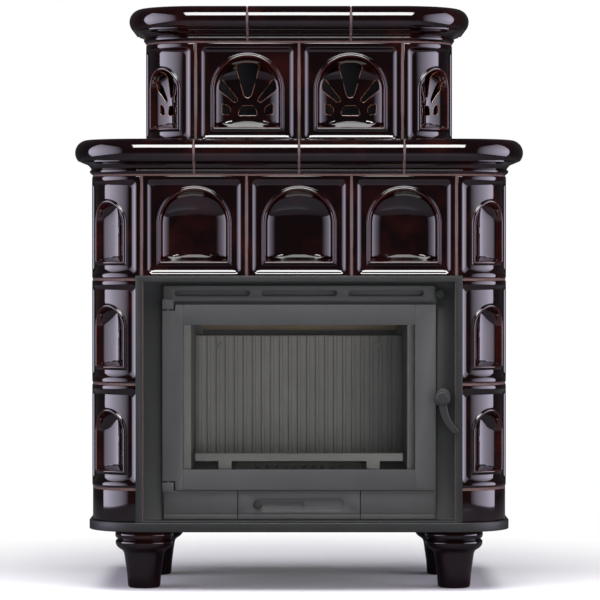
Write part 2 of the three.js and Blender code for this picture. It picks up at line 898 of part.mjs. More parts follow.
// The bars of one block of tiles, joined into a lattice.
function mortarLattice({ flat, columns, sideLength, foot, frontFoot, top, cornerLevels }) {
  const half = joint / 2 - fit;
  const bars = [mortarBar(wrapPath(flat, sideLength - joint), top - half, top + half)];
  for (const [, side] of sides) {
    const corner = { x: side * (flat + cornerRadius), y: cornerRadius, nx: side, ny: 0 };
    bars.push(uprightMortar(corner, foot, top));
    for (const level of cornerLevels) {
      bars.push(mortarBar(cornerPath(side, flat, 0, 0), level - half, level + half));
    }
  }
  for (let column = 0; column <= columns; column += 1) {
    const x = column * tilePitch - flat;
    bars.push(uprightMortar({ x, y: 0, nx: 0, ny: -1 }, frontFoot, top));
  }
  return join(...bars);
}

function buildMortar() {
  const rowLevels = Array.from({ length: bodyRows }, (_, row) => firstRow + row * tilePitch);
  const bodyLattice = mortarLattice({
    flat: flatHalf,
    columns: bodyColumns,
    sideLength: bodySide,
    foot: plateTop + fit,
    frontFoot: rowLevels.at(-1),
    top: corniceBase,
    cornerLevels: rowLevels,
  });
  add('body_mortar', bodyLattice, mortar, body);
  const crownLattice = mortarLattice({
    flat: crownFlatHalf,
    columns: crownColumns,
    sideLength: crownSide,
    foot: fit,
    frontFoot: fit,
    top: tilePitch,
    cornerLevels: [],
  });
  add('crown_mortar', crownLattice, mortar, crown);
}

// ---------------------------------------------------------------- base, feet and covers

// A slab's outline in x and depth: square at the back, with round front corners.
function slabShape(flat, radius, back, steps) {
  const half = flat + radius;
  return polygonShape([
    [-half, back],
    ...arc(-flat, cornerRadius, radius, Math.PI, 1.5 * Math.PI, steps),
    ...arc(flat, cornerRadius, radius, 1.5 * Math.PI, 2 * Math.PI, steps),
    [half, back],
    [0, back],
  ]);
}

function buildBasePlate() {
  const radius = cornerRadius + basePlateOverhang;
  const shape = slabShape(flatHalf, radius, bodyDepth, arcSteps);
  const round = basePlateRounding;
  const geometry = new THREE.ExtrudeGeometry(shape, {
    depth: basePlateThickness - fit - 2 * round,
    bevelThickness: round,
    bevelSize: round,
    bevelOffset: -round,
    bevelSegments: 1,
  });
  add('base_plate', geometry.translate(0, 0, footHeight + fit + round), blackSteel, body);
}

// Turned foot: a double torus over a cove, and a tapered toe.
function footGeometry() {
  const closed = [[0, 0], ...footTurns, [0, footHeight]];
  const points = closed.map(([radius, height]) => new THREE.Vector2(radius, height));
  return new THREE.LatheGeometry(points, turnedSides).rotateX(Math.PI / 2);
}

function buildFeet() {
  const rows = [
    ['front', frontFootOffset, frontFootSetback],
    ['rear', rearFootOffset, rearFootSetback],
  ];
  for (const [row, offset, setback] of rows) {
    for (const [name, side] of sides) {
      add(`foot_${row}_${name}`, footGeometry(), glaze, body).position.set(side * offset, setback, 0);
    }
  }
}

// A flat cover inside a cornice, with its rear edge turned down as a skirt.
function coverGeometry(flat, back, level, skirtFoot) {
  const radius = shelfInnerRadius - fit;
  const half = flat + radius;
  const options = { depth: coverThickness, bevelEnabled: false };
  const shape = slabShape(flat, radius, back, 2);
  const plate = new THREE.ExtrudeGeometry(shape, options).translate(0, 0, level - coverThickness);
  const skirt = block([-half, back - sheet, skirtFoot], [half, back, level - coverThickness / 2]);
  return join(plate, skirt);
}

function buildCovers() {
  const shelf = coverGeometry(flatHalf, bodyDepth - joint / 2, shelfLevel, corniceBase + fit);
  add('shelf_cover', shelf, sheetSteel, body);
  const crownTop = crownShelfLevel - shelfLevel;
  const top = coverGeometry(crownFlatHalf, crownDepth - joint / 2, crownTop, tilePitch + fit);
  add('crown_cover', top, sheetSteel, crown);
}

// Steel back covers; the lower one has the flue hole and two rows of air slots.
function buildBackCovers() {
  const between = plateDepth + fit;
  const rear = bodyDepth - joint / 2;
  const half = bodyHalf - between;
  const low = plateTop + fit;
  const openings = [
    barAlongY(flueRadius + fit, 0, flueLevel, rear - 2 * sheet, rear + sheet, 2 * tubeSides),
  ];
  for (let row = 0; row < backSlotRows; row += 1) {
    for (let column = 0; column < backSlotColumns; column += 1) {
      const x = (column - (backSlotColumns - 1) / 2) * backSlotPitch;
      const z = low + backSlotRise + row * backSlotRowPitch;
      openings.push(block(
        [x - backSlotWidth / 2, rear - 2 * sheet, z],
        [x + backSlotWidth / 2, rear + sheet, z + backSlotHeight],
      ));
    }
  }
  const cover = cut(block([-half, rear - sheet, low], [half, rear, corniceBase - fit]), ...openings);
  add('back_cover', cover, sheetSteel, body);
  const crownRear = crownDepth - joint / 2;
  const crownBack = block(
    [between - crownHalf, crownRear - sheet, fit],
    [crownHalf - between, crownRear, tilePitch - fit],
  );
  add('crown_back_cover', crownBack, sheetSteel, crown);
}

// ---------------------------------------------------------------- surround and panels

// Flange in front of the tiles, sleeve through the wall, and fillers round the front plate.
function buildSurround() {
  const outer = surroundWidth / 2;
  const inner = outer - flangeSide;
  const innerTop = surroundHeight - flangeTop;
  const clear = [-inner, inner, sheet, innerTop];
  const back = frontPlateSetback - fit;
  const flangeBack = flangeThickness - flangeProud;
  const sleeveHalf = inner + joint / 2 + fit;
  const sleeveTop = innerTop + sheet;
  const sleeve = [-sleeveHalf, sleeveHalf, 0, sleeveTop];
  const opening = frontOpeningWidth / 2;
  const flange = frameShape([-outer, outer, 0, surroundHeight], clear);
  const filler = frameShape(sleeve, [-opening, opening, sheet, sheet + frontOpeningHeight]);
  const surround = join(
    pressed(flange, -flangeProud, flangeBack),
    pressed(frameShape(sleeve, clear), flangeBack - fit, back),
    pressed(filler, back - sheet, back),
  );
  const rodHole = barAlongY(
    damperRodRadius + boreClearance, damperOffset, damperRise, back - 2 * sheet, back + sheet,
  );
  add('surround', cut(surround, rodHole), blackSteel, insert);
}

// A folded panel: a front sheet with its rim turned back to the front plate.
function panelPan(left, right, low, high) {
  const back = frontPlateSetback - fit;
  return cut(
    block([left, panelSetback, low], [right, back, high]),
    block([left + sheet, panelSetback + sheet, low + sheet], [right - sheet, back + sheet, high - sheet]),
  );
}

// A hinge block between two heights, with its pin reaching into the door.
function hingeBlockAt(low, high, pinLow, pinHigh) {
  const front = doorSetback;
  const back = frontPlateSetback - fit;
  return join(
    block([hingeX - hingeBlock / 2, front, low], [hingeX + hingeBlock / 2, back, high]),
    barAlongZ(hingePinRadius, hingeX, hingeY, pinLow, pinHigh),
  );
}

function buildSlotPanel() {
  const top = sheet + frontOpeningHeight - fit;
  const middle = (slotPanelSill + top) / 2;
  const slots = Array.from({ length: slotCount }, (_, i) => {
    const x = (i - (slotCount - 1) / 2) * slotPitch;
    return pressed(stadium(x, middle, slotLength, slotHeight), panelSetback - 1, panelSetback + sheet + 1);
  });
  const pan = cut(panelPan(-panelHalf, panelHalf, slotPanelSill, top), ...slots);
  const low = upperNotch + hingeGap;
  const hinge = hingeBlockAt(low, slotPanelSill + sheet, low - hingePinLength, low + 1);
  add('slot_panel', join(pan, hinge), doorSteel, insert);
}

function lipCut(left, right) {
  const z = lowerPanelSill + lipHeight;
  return block(
    [left - 1, panelSetback - lipGroove, z - lipGroove / 2],
    [right + 1, panelSetback + lipGroove, z + lipGroove / 2],
  );
}

function buildLowerPanels() {
  const low = lowerPanelSill;
  const high = lowerPanelTop;
  const near = drawerFrontWidth / 2 + panelGap;
  const top = lowerNotch - hingeGap;
  const left = cut(panelPan(-panelHalf, -near, low, high), lipCut(-panelHalf, -near));
  const hinge = hingeBlockAt(high - sheet, top, top - 1, top + hingePinLength);
  add('lower_panel_left', join(left, hinge), doorSteel, insert);
  const right = cut(panelPan(near, panelHalf, low, high), lipCut(near, panelHalf));
  add('lower_panel_right', right, doorSteel, insert);
}

// ---------------------------------------------------------------- firebox

function buildFirebox() {
  const front = frontPlateSetback;
  const plateBack = front + frontPlateThickness;
  const back = front + fireboxDepth;
  const shellHalf = cavityWidth / 2 + fireboxWall;
  const mouthHalf = doorHalf - doorStile;
  const bayHalf = ashBayWidth / 2;
  const hearth = hearthHeight;
  const roof = fireboxHeight - fireboxRoof;
  const shell = join(
    block([-frontPlateWidth / 2, front, 0], [frontPlateWidth / 2, plateBack, fireboxHeight]),
    block([-shellHalf, plateBack - 1, 0], [shellHalf, back, fireboxHeight]),
  );
  const hollow = cut(
    shell,
    block([-mouthHalf, front - 1, hearth], [mouthHalf, back - fireboxWall, mouthTop]),
    block([-cavityWidth / 2, plateBack, hearth], [cavityWidth / 2, back - fireboxWall, roof]),
    block([-bayHalf, front - 1, sheet], [bayHalf, plateBack + 1, sheet + ashBayHeight]),
    block([-bayHalf, plateBack, sheet], [bayHalf, ashBayBack, hearth]),
    block(
      [-hearthPlateHalf - fit, plateBack, hearth - grateThickness],
      [hearthPlateHalf + fit, ashBayBack + grateLedge + fit, hearth + 1],
    ),
    barAlongZ(flueRadius - flueWall, 0, flueSetback, roof - 1, fireboxHeight + 1, 2 * tubeSides),
    barAlongY(damperRodRadius + boreClearance, damperOffset, damperRise, front - 1, plateBack + 1),
  );
  add('firebox', hollow, sheetSteel, insert);
}

// Cast hearth plate over the ash bay, with grate bars in its middle; it lies on ledges.
function buildGrate() {
  const low = hearthHeight - grateThickness + fit;
  const pitch = (grateWidth - 2 * grateRim) / grateBars;
  const front = frontPlateSetback + grateSetback + 1.5 * grateRim;
  const back = frontPlateSetback + grateSetback + grateDepth - 1.5 * grateRim;
  const slots = Array.from({ length: grateBars }, (_, i) => {
    const x = (i + 0.5) * pitch - grateWidth / 2 + grateRim;
    return block(
      [x - grateSlotWidth / 2, front, low - 1],
      [x + grateSlotWidth / 2, back, hearthHeight + 1],
    );
  });
  const plate = block(
    [-hearthPlateHalf, frontPlateSetback + frontPlateThickness + fit, low],
    [hearthPlateHalf, ashBayBack + grateLedge, hearthHeight],
  );
  add('grate', cut(plate, ...slots), castIron, insert);
}

// Height of the baffle's underside at a depth behind the tile face.
function baffleUnderside(depth) {
  const back = frontPlateSetback + fireboxDepth - fireboxWall;
  return baffleLevel + (back - depth) * Math.tan(baffleSlope);
}

// Side linings stand on the hearth; a rail on each carries the baffle's edge.
function buildLinings() {
  const front = frontPlateSetback + frontPlateThickness + liningGap;
  const back = frontPlateSetback + fireboxDepth - fireboxWall - fit;
  const floor = hearthHeight + fit;
  const outer = cavityWidth / 2 - fit;
  const inner = outer - liningThickness;
  const slab = polygonShape([
    [front, floor], [back, floor],
    [back, baffleUnderside(back) - fit], [front, baffleUnderside(front) - fit],
  ]);
  const railFront = back - baffleLength;
  const rail = polygonShape([
    [railFront, baffleUnderside(railFront) - railThickness],
    [back, baffleUnderside(back) - railThickness],
    [back, baffleUnderside(back) - fit],
    [railFront, baffleUnderside(railFront) - fit],
  ]);
  for (const [name, side] of sides) {
    const span = (from, to) => [Math.min(side * from, side * to), Math.max(side * from, side * to)];
    const lining = join(
      sideways(slab, ...span(inner, outer)),
      sideways(rail, ...span(inner - railWidth, inner + 1)),
    );
    add(`side_lining_${name}`, lining, castIron, insert);
  }
}

function buildBaffle() {
  const back = frontPlateSetback + fireboxDepth - fireboxWall - fit;
  const front = back - baffleLength;
  const rise = baffleThickness / Math.cos(baffleSlope);
  const half = cavityWidth / 2 - fit;
  const shape = polygonShape([
    [front, baffleUnderside(front)], [back, baffleUnderside(back)],
    [back, baffleUnderside(back) + rise], [front, baffleUnderside(front) + rise],
  ]);
  add('baffle', sideways(shape, -half, half), vermiculite, insert);
}

// Ribbed cast plate against the back wall, between the side linings.
function buildBackPlate() {
  const back = frontPlateSetback + fireboxDepth - fireboxWall - fit;
  const face = back - backPlateThickness;
  const half = cavityWidth / 2 - liningThickness - 2 * fit;
  const top = baffleUnderside(back) - railThickness - 2 * fit;
  const ribs = Math.floor((2 * half - ribWidth) / ribPitch) + 1;
  const shape = new THREE.Shape();
  shape.moveTo(-half, back);
  shape.lineTo(-half, face);
  for (let i = 0; i < ribs; i += 1) {
    const x = (i - (ribs - 1) / 2) * ribPitch;
    shape.lineTo(x - ribWidth / 2, face);
    shape.lineTo(x - ribWidth / 3, face - ribHeight);
    shape.lineTo(x + ribWidth / 3, face - ribHeight);
    shape.lineTo(x + ribWidth / 2, face);
  }
  shape.lineTo(half, face);
  shape.lineTo(half, back);
  const floor = hearthHeight + fit;
  const geometry = new THREE.ExtrudeGeometry(shape, { depth: top - floor, bevelEnabled: false });
  add('back_plate', geometry.translate(0, 0, floor), castIron, insert);
}

// A low rail on two posts that keeps logs off the glass.
function buildLogGuard() {
  const front = frontPlateSetback + logGuardSetback;
  const floor = hearthHeight + fit;
  const top = floor + logGuardHeight;
  const half = logGuardWidth / 2;
  const shape = new THREE.Shape();
  const posts = [-logGuardPostOffset, logGuardPostOffset];
  shape.moveTo(-half, top);
  shape.lineTo(-half, top - logGuardBar);
  for (const x of posts) {
    shape.lineTo(x - logGuardPost / 2, top - logGuardBar);
    shape.lineTo(x - logGuardPost / 2, floor);
    shape.lineTo(x + logGuardPost / 2, floor);
    shape.lineTo(x + logGuardPost / 2, top - logGuardBar);
  }
  shape.lineTo(half, top - logGuardBar);
  shape.lineTo(half, top);
  add('log_guard', pressed(shape, front, front + logGuardThickness), castIron, insert);
}

// Smoke pipe from the firebox roof, bent to the back and out through the back cover.
function buildFluePipe() {
  const sidesOfPipe = 2 * tubeSides;
  const foot = fireboxHeight + fit;
  const centre = { y: flueSetback + flueBend, z: foot + flueRise };
  const turns = Array.from({ length: bendSteps + 1 }, (_, i) => {
    const angle = (Math.PI * i) / (2 * bendSteps);
    return {
      y: centre.y - flueBend * Math.cos(angle),
      z: centre.z + flueBend * Math.sin(angle),
      angle,
    };
  });
  const stations = [
    { y: flueSetback, z: foot, angle: 0 },
    ...turns,
    { y: bodyDepth + flueProjection, z: centre.z + flueBend, angle: Math.PI / 2 },
  ];
  const ring = (radius) => ({ y, z, angle }) =>
    Array.from({ length: sidesOfPipe }, (_, i) => {
      const turn = (2 * Math.PI * i) / sidesOfPipe;
      const across = radius * Math.sin(turn);
      return [
        radius * Math.cos(turn),
        y + across * Math.cos(angle),
        z - across * Math.sin(angle),
      ];
    });
  const outer = stations.map(ring(flueRadius));
  const inner = stations.map(ring(flueRadius - flueWall)).reverse();
  const skin = new Skin();
  skin.bands([...outer, ...inner, outer[0]]);
  add('flue_pipe', skin.geometry(), sheetSteel, insert);
}

// ---------------------------------------------------------------- door

function buildDoor() {
  const front = doorSetback;
  const back = doorSetback + doorThickness;
  const glassFront = back - rebate;
  const clear = [
    doorStile - doorHalf, doorHalf - doorStile, doorSill + doorRail, doorTop - doorRail,
  ];
  const grown = (amount) => [
    clear[0] - amount, clear[1] + amount, clear[2] - amount, clear[3] + amount,
  ];
  const notchRight = hingeX + hingeBlock / 2 + hingeGap;
  const notch = (low, high) =>
    block([-doorHalf - 1, front - 1, low], [notchRight, back + 1, high]);
  const bore = (low, high) =>
    barAlongZ(hingePinRadius + boreClearance, hingeX, hingeY, low, high);
  const pinReach = hingePinLength - hingeGap + 2;
  const lugFront = front + lugSetback;
  const lugBack = lugFront + lugThickness;
  const lugX = handleOffset + lugOffset;
  const lugZ = handleZ + lugOffset;
  const frame = join(
    pressed(frameShape([-doorHalf, doorHalf, doorSill, doorTop], clear), front, back),
    block(
      [doorHalf - 2, lugFront, lugZ - handleHubRadius],
      [lugX, lugBack, lugZ + handleHubRadius],
    ),
    barAlongY(handleHeadRadius, lugX, lugZ, lugFront, lugBack, 2 * tubeSides),
  );
  const finished = cut(
    frame,
    pressed(rectangle(...grown(rebate)), glassFront, back + 1),
    notch(upperNotch, doorTop + 1),
    notch(doorSill - 1, lowerNotch),
    bore(upperNotch - pinReach, upperNotch + 1),
    bore(lowerNotch - 1, lowerNotch + pinReach),
    barAlongY(handleShaftRadius + boreClearance, handleOffset, handleZ, lugFront - 1, lugBack + 1),
  );
  add('door_frame', finished, doorSteel, insert);

  const pane = rectangle(...grown(rebate - fit));
  const glassBack = glassFront + fit + glassThickness;
  add('door_glass', pressed(pane, glassFront + fit, glassBack), fireGlass, insert);

  const sealShape = frameShape(
    grown(rebate + sealGap + sealWidth), grown(rebate + sealGap),
  );
  const sealBack = frontPlateSetback - fit;
  add('door_seal', pressed(sealShape, back + fit, sealBack), sealRope, insert);
}

// A lever with a round head, narrowing along its curve to a round tip.
function leverShape() {
  const start = new THREE.Vector2(handleOffset, handleZ);
  const end = new THREE.Vector2(handleOffset + handleSweep, handleZ - handleReach);
  const bend = new THREE.Vector2(handleOffset + 3, handleZ - handleReach / 2);
  const curve = new THREE.QuadraticBezierCurve(start, bend, end);
  const stations = [0.2, 0.4, 0.6, 0.8, 1];
  const edge = (side) => stations.map((share) => {
    const along = curve.getTangent(share);
    const width = handleNeckWidth + (handleTipWidth - handleNeckWidth) * share;
    const normal = new THREE.Vector2(-along.y, along.x).multiplyScalar((side * width) / 2);
    return curve.getPoint(share).add(normal);
  });
  const heading = curve.getTangent(1).angle();
  const tip = arc(end.x, end.y, handleTipWidth / 2, heading - Math.PI / 2, heading + Math.PI / 2, 6);
  const tipPoints = tip.slice(1, -1).map(([x, z]) => new THREE.Vector2(x, z));
  return new THREE.Shape([...edge(-1), ...tipPoints, ...edge(1).reverse()]);
}

function buildHandle() {
  const plateFront = -handleProud;
  const plateBack = plateFront + handlePlate;
  const lugFront = doorSetback + lugSetback;
  const lugBack = lugFront + lugThickness;
  const round = (radius, from, to) =>
    barAlongY(radius, handleOffset, handleZ, from, to, 2 * tubeSides);
  const handle = join(
    pressed(leverShape(), plateFront, plateBack),
    round(handleHeadRadius, plateFront, plateBack),
    round(handleCapRadius, plateFront - handleCapHeight, plateFront + 1),
    round(handleHubRadius, plateBack - 1, lugFront - fit),
    round(handleShaftRadius, lugFront - 1, lugBack + 1),
  );
  add('door_handle', handle, blackSteel, insert);
}

// ---------------------------------------------------------------- ash drawer, slider, damper

function buildAshDrawer() {
  const front = panelSetback;
  const faceBack = front + drawerFrontThickness;
  const half = drawerFrontWidth / 2;
  const low = lowerPanelSill;
  const high = lowerPanelTop;
  const trayHalf = ashBayWidth / 2 - drawerSideGap;
  const floor = sheet + fit;
  const recessBack = front + recessDepth;
  const drawer = cut(
    join(
      block([-half, front, low], [half, faceBack, high]),
      block([-trayHalf, faceBack - 1, floor], [trayHalf, faceBack + drawerDepth, floor + drawerHeight]),
    ),
    block(
      [drawerWall - trayHalf, faceBack, floor + drawerWall],
      [trayHalf - drawerWall, faceBack + drawerDepth - drawerWall, floor + drawerHeight + 1],
    ),
    pressed(stadium(0, recessZ, recessWidth, recessHeight), front - 1, recessBack),
    block(
      [sliderSlotLeft, recessBack - 1, recessZ - sliderSlotHeight / 2],
      [sliderSlotLeft + sliderSlotWidth, recessBack + sliderSlotDepth, recessZ + sliderSlotHeight / 2],
    ),
    lipCut(-half, half),
  );
  add('ash_drawer', drawer, doorSteel, insert);
}

function buildAirSlider() {
  const recessBack = panelSetback + recessDepth;
  const x = sliderSlotLeft + sliderEndGap + sliderFootWidth / 2;
  const half = sliderSlotHeight / 2 - fit;
  const knobBack = recessBack - fit;
  const slider = join(
    barAlongY(sliderKnobRadius, x, recessZ, knobBack - sliderKnobHeight, knobBack, knobSides),
    block(
      [x - sliderFootWidth / 2, recessBack - 1, recessZ - half],
      [x + sliderFootWidth / 2, recessBack + sliderSlotDepth - fit, recessZ + half],
    ),
  );
  add('air_slider', slider, blackSteel, insert);
}

function buildDamper() {
  const knobBack = damperKnobSetback + damperKnobLength;
  const damper = join(
    barAlongY(damperKnobRadius, damperOffset, damperRise, damperKnobSetback, knobBack, knobSides),
    barAlongY(damperRodRadius, damperOffset, damperRise, knobBack - 1, knobBack + damperRodLength),
  );
  add('damper_knob', damper, blackSteel, insert);
}

// ---------------------------------------------------------------- the whole stove

buildFeet();
buildBasePlate();
buildPlinth();
buildCornerTiles();
buildFrontTiles();
buildSideWalls();
buildCrownTiles();
buildMortar();
buildCornice('cornice', flatHalf, bodySide, body, corniceBase);
buildCornice('crown_cornice', crownFlatHalf, crownSide, crown, tilePitch);
buildCovers();
buildBackCovers();
buildSurround();
buildSlotPanel();
buildLowerPanels();
buildFirebox();
buildGrate();
buildLinings();
buildBaffle();
buildBackPlate();
buildLogGuard();
buildFluePipe();
buildDoor();
buildHandle();
buildAshDrawer();
buildAirSlider();
buildDamper();

export default stove;
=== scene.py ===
from math import cos, pi, radians, sin

import bmesh
import bpy
from mathutils import Matrix, Vector


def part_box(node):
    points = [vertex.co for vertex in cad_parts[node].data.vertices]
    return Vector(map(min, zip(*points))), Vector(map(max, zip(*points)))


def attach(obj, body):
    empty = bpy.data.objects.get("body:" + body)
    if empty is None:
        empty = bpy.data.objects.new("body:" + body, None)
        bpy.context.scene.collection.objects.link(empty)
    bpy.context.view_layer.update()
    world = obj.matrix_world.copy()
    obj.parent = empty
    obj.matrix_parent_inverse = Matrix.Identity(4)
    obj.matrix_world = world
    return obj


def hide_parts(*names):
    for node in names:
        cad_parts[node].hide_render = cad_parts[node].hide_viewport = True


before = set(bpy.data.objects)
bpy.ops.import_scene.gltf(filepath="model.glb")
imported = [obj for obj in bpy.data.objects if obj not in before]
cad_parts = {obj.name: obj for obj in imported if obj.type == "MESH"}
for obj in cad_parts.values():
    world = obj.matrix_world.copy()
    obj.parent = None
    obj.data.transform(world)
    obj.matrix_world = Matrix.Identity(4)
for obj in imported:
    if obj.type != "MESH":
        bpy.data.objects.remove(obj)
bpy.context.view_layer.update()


# ---------------------------------------------------------------- glaze
# All ceramic pieces carry one thick dark brown glaze, nearly black where it lies deep and
# warmer where it runs thin over a crest. It is very glossy, and slightly wavy.

class Shade:
    """A shader socket in an expression: arithmetic on it adds Math nodes to its material."""

    def __init__(self, socket):
        self.socket = socket

    def node(self, kind, settings, sockets, out=0):
        """Adds a node: its settings first, then the values or links of its sockets."""
        tree = self.socket.id_data
        made = tree.nodes.new("ShaderNode" + kind)
        for name, value in settings.items():
            if name == "stops":
                ramp = made.color_ramp.elements
                while len(ramp) < len(value):
                    ramp.new(1)
                for stop, (place, tone) in zip(ramp, value):
                    stop.position = place
                    stop.color = (*tone, 1)
            else:
                setattr(made, name, value)
        for name, value in sockets.items():
            if isinstance(value, Shade):
                tree.links.new(value.socket, made.inputs[name])
            else:
                made.inputs[name].default_value = value
        return Shade(made.outputs[out]) if made.outputs else None

    def math(self, operation, first, second):
        return self.node("Math", {"operation": operation}, {0: first, 1: second})

    def __add__(self, other):
        return self.math("ADD", self, other)

    def __radd__(self, other):
        return self.math("ADD", other, self)

    def __sub__(self, other):
        return self.math("SUBTRACT", self, other)

    def __rsub__(self, other):
        return self.math("SUBTRACT", other, self)

    def __mul__(self, other):
        return self.math("MULTIPLY", self, other)

    def __rmul__(self, other):
        return self.math("MULTIPLY", other, self)

    def kept(self):
        """The value kept between 0 and 1."""
        return self.node("Clamp", {}, {"Value": self})

    def between(self, dark, light):
        """Two colours mixed by this value."""
        colours = {0: self, 6: (*dark, 1), 7: (*light, 1)}
        return self.node("Mix", {"data_type": "RGBA"}, colours, out=2)

    def noise(self, scale, detail=2, roughness=0.5):
        """Cloudy noise at this place."""
        return self.node("TexNoise", {}, {
            "Vector": self, "Scale": scale, "Detail": detail, "Roughness": roughness})

    def raised(self, millimetres):
        """A bump of this height."""
        return self.node("Bump", {}, {"Height": self, "Distance": millimetres / 1000})


def finish(name):
    """A new material, and the place on the object that its nodes start from."""
    material = bpy.data.materials.new(name)
    material.use_nodes = True
    material.node_tree.nodes.clear()
    return material, Shade(material.node_tree.nodes.new("ShaderNodeTexCoord").outputs["Object"])


def shaded(place, sockets):
    """Ends a material with one principled surface."""
    place.node("OutputMaterial", {}, {"Surface": place.node("BsdfPrincipled", {}, sockets)})


glaze, place = finish("glaze")
thin = place.node("Attribute", {"attribute_name": "thin"}, {}, out=2)
cloud = place.noise(14, 2)
depth = (thin * 0.30 + (cloud - 0.5) * 0.45).kept()
shaded(place, {
    "Base Color": depth.between((0.0026, 0.0004, 0.0006), (0.085, 0.013, 0.008)),
    "Roughness": 0.05 + place.noise(30) * 0.04,
    "IOR": 1.5,
    "Coat Weight": 0.35,
    "Coat Roughness": 0.03,
    "Normal": place.noise(11, 1).raised(0.45),
})

# Where a sharp edge is cut, the glaze draws back and the body shows warm brown through it.
cut_glaze, place = finish("cut_glaze")
shaded(place, {
    "Base Color": place.noise(45, 3).between((0.10, 0.022, 0.008), (0.30, 0.10, 0.045)),
    "Roughness": 0.14 + place.noise(80) * 0.08,
    "Coat Weight": 0.5,
    "Coat Roughness": 0.05,
    "Normal": place.noise(90, 2).raised(0.2),
})


# ---------------------------------------------------------------- feet
# Four turned feet of glazed ceramic: two bulges with a groove between, and a tapering leg.
# Each grows from the ring of its sole, drawn up and widened turn by turn.

def only(*pieces):
    """Selects these pieces alone, the first one active; only() leaves nothing selected."""
    bpy.ops.object.select_all(action="DESELECT")
    for piece in pieces:
        piece.select_set(True)
    if pieces:
        bpy.context.view_layer.objects.active = pieces[0]


def begun(name):
    """Names the new primitive and puts its place into its mesh."""
    piece = bpy.context.object
    piece.name = name
    piece.data.name = name
    bpy.ops.object.transform_apply()
    return piece


def closed(piece, angle=35):
    """Leaves edit mode with all faces pointing out and soft edges smoothed."""
    bpy.ops.mesh.select_all(action="SELECT")
    bpy.ops.mesh.normals_make_consistent(inside=False)
    bpy.ops.object.mode_set(mode="OBJECT")
    bpy.ops.object.shade_smooth_by_angle(angle=radians(angle))
    return piece


def curved(points, steps):
    """Points on a smooth line through the given ones."""
    ends = [points[0], *points, points[-1]]
    line = []
    for before, start, end, after in zip(ends, ends[1:], ends[2:], ends[3:]):
        for step in range(steps):
            t = step / steps
            line.append(tuple(
                0.5 * (2 * b + (c - a) * t + (2 * a - 5 * b + 4 * c - d) * t * t
                       + (3 * b - a - 3 * c + d) * t ** 3)
                for a, b, c, d in zip(before, start, end, after)))
    return line + [points[-1]]


def turned(name, turns, sides=72):
    """A round piece about the z axis, drawn up through rings of (radius, height)."""
    (radius, height), *others = turns
    only()
    bpy.ops.mesh.primitive_circle_add(
        vertices=sides, radius=radius, fill_type="NGON", location=(0, 0, height))
    piece = begun(name)
    bpy.ops.object.mode_set(mode="EDIT")
    for wide, high in others:
        bpy.ops.mesh.extrude_region_move(
            TRANSFORM_OT_translate={"value": (0, 0, high - height)})
        bpy.ops.transform.resize(
            value=(wide / radius, wide / radius, 1), center_override=(0, 0, high))
        radius, height = wide, high
    return closed(piece)


def copied(piece, name):
    """A copy with a mesh of its own."""
    twin = bpy.data.objects.new(name, piece.data.copy())
    bpy.context.collection.objects.link(twin)
    return twin


def fitted(piece, nodes, body="stove", coat=None):
    """Gives a piece its finish, if one is given, and lets it stand for its nodes in its body."""
    if coat:
        piece.data.materials.clear()
        piece.data.materials.append(coat)
    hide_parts(*nodes)
    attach(piece, body)


foot_turns = [(0.0305, 0), (0.0335, 0.002), (0.0345, 0.006), *curved([
    (0.0365, 0.03), (0.0400, 0.056), (0.0425, 0.072), (0.0460, 0.079), (0.0540, 0.0845),
    (0.0588, 0.0895), (0.0607, 0.0955), (0.0600, 0.1005), (0.0565, 0.1043), (0.0600, 0.1075),
    (0.0615, 0.1135), (0.0600, 0.1200), (0.0560, 0.1245)], 4), (0.053, 0.1262)]
foot = turned("foot", foot_turns)
for node in ("foot_front_left", "foot_front_right", "foot_rear_left", "foot_rear_right"):
    low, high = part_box(node)
    piece = copied(foot, node + "_turned")
    piece.data.transform(Matrix.Translation(((low[0] + high[0]) / 2, (low[1] + high[1]) / 2, 0)))
    fitted(piece, [node], coat=glaze)
bpy.data.objects.remove(foot)


# ---------------------------------------------------------------- base plate
# A thick black steel plate, square behind and round at its front corners, lies on the feet.
# Its edges are broken, and its paint is thin and a little rough.

def chosen(piece, kind, test):
    """In edit mode, selects only the vertices, edges or faces that pass the test."""
    bpy.ops.mesh.select_mode(type=kind)
    bpy.ops.mesh.select_all(action="DESELECT")
    mesh = bmesh.from_edit_mesh(piece.data)
    for part in {"VERT": mesh.verts, "EDGE": mesh.edges, "FACE": mesh.faces}[kind]:
        if test(part):
            part.select_set(True)
    mesh.select_flush_mode()
    bmesh.update_edit_mesh(piece.data)


def block(name, middle, size):
    """A plain block about its middle."""
    only()
    bpy.ops.mesh.primitive_cube_add(size=1, location=middle, scale=size)
    return begun(name)


def slab(name, low, high, radius, edge):
    """A plate between two corners with round front corners and broken edges."""
    middle = [(a + b) / 2 for a, b in zip(low, high)]
    size = [b - a for a, b in zip(low, high)]
    piece = block(name, middle, size)
    bpy.ops.object.mode_set(mode="EDIT")
    chosen(piece, "EDGE", lambda line: all(v.co.y < middle[1] for v in line.verts)
           and abs(line.verts[0].co.z - line.verts[1].co.z) > size[2] / 2)
    bpy.ops.mesh.bevel(offset=radius, segments=28, affect="EDGES")
    chosen(piece, "EDGE", lambda line: line.calc_face_angle(0) > radians(40))
    bpy.ops.mesh.bevel(offset=edge, segments=3, affect="EDGES")
    return closed(piece)


black_paint, place = finish("black_paint")
shaded(place, {
    "Base Color": place.noise(25, 4).between((0.006, 0.0065, 0.006), (0.012, 0.013, 0.012)),
    "Roughness": 0.40 + place.noise(40) * 0.16,
    "Normal": place.noise(900, 2).raised(0.06),
})
plate = slab("base_plate_rounded", *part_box("base_plate"), radius=0.116, edge=0.0018)
fitted(plate, ["base_plate"], coat=black_paint)


# ---------------------------------------------------------------- walls
# The tile faces lie on a wall that runs across the front, round each corner and back along
# the sides. Pieces are made flat, measured along the wall, and then carried round it.

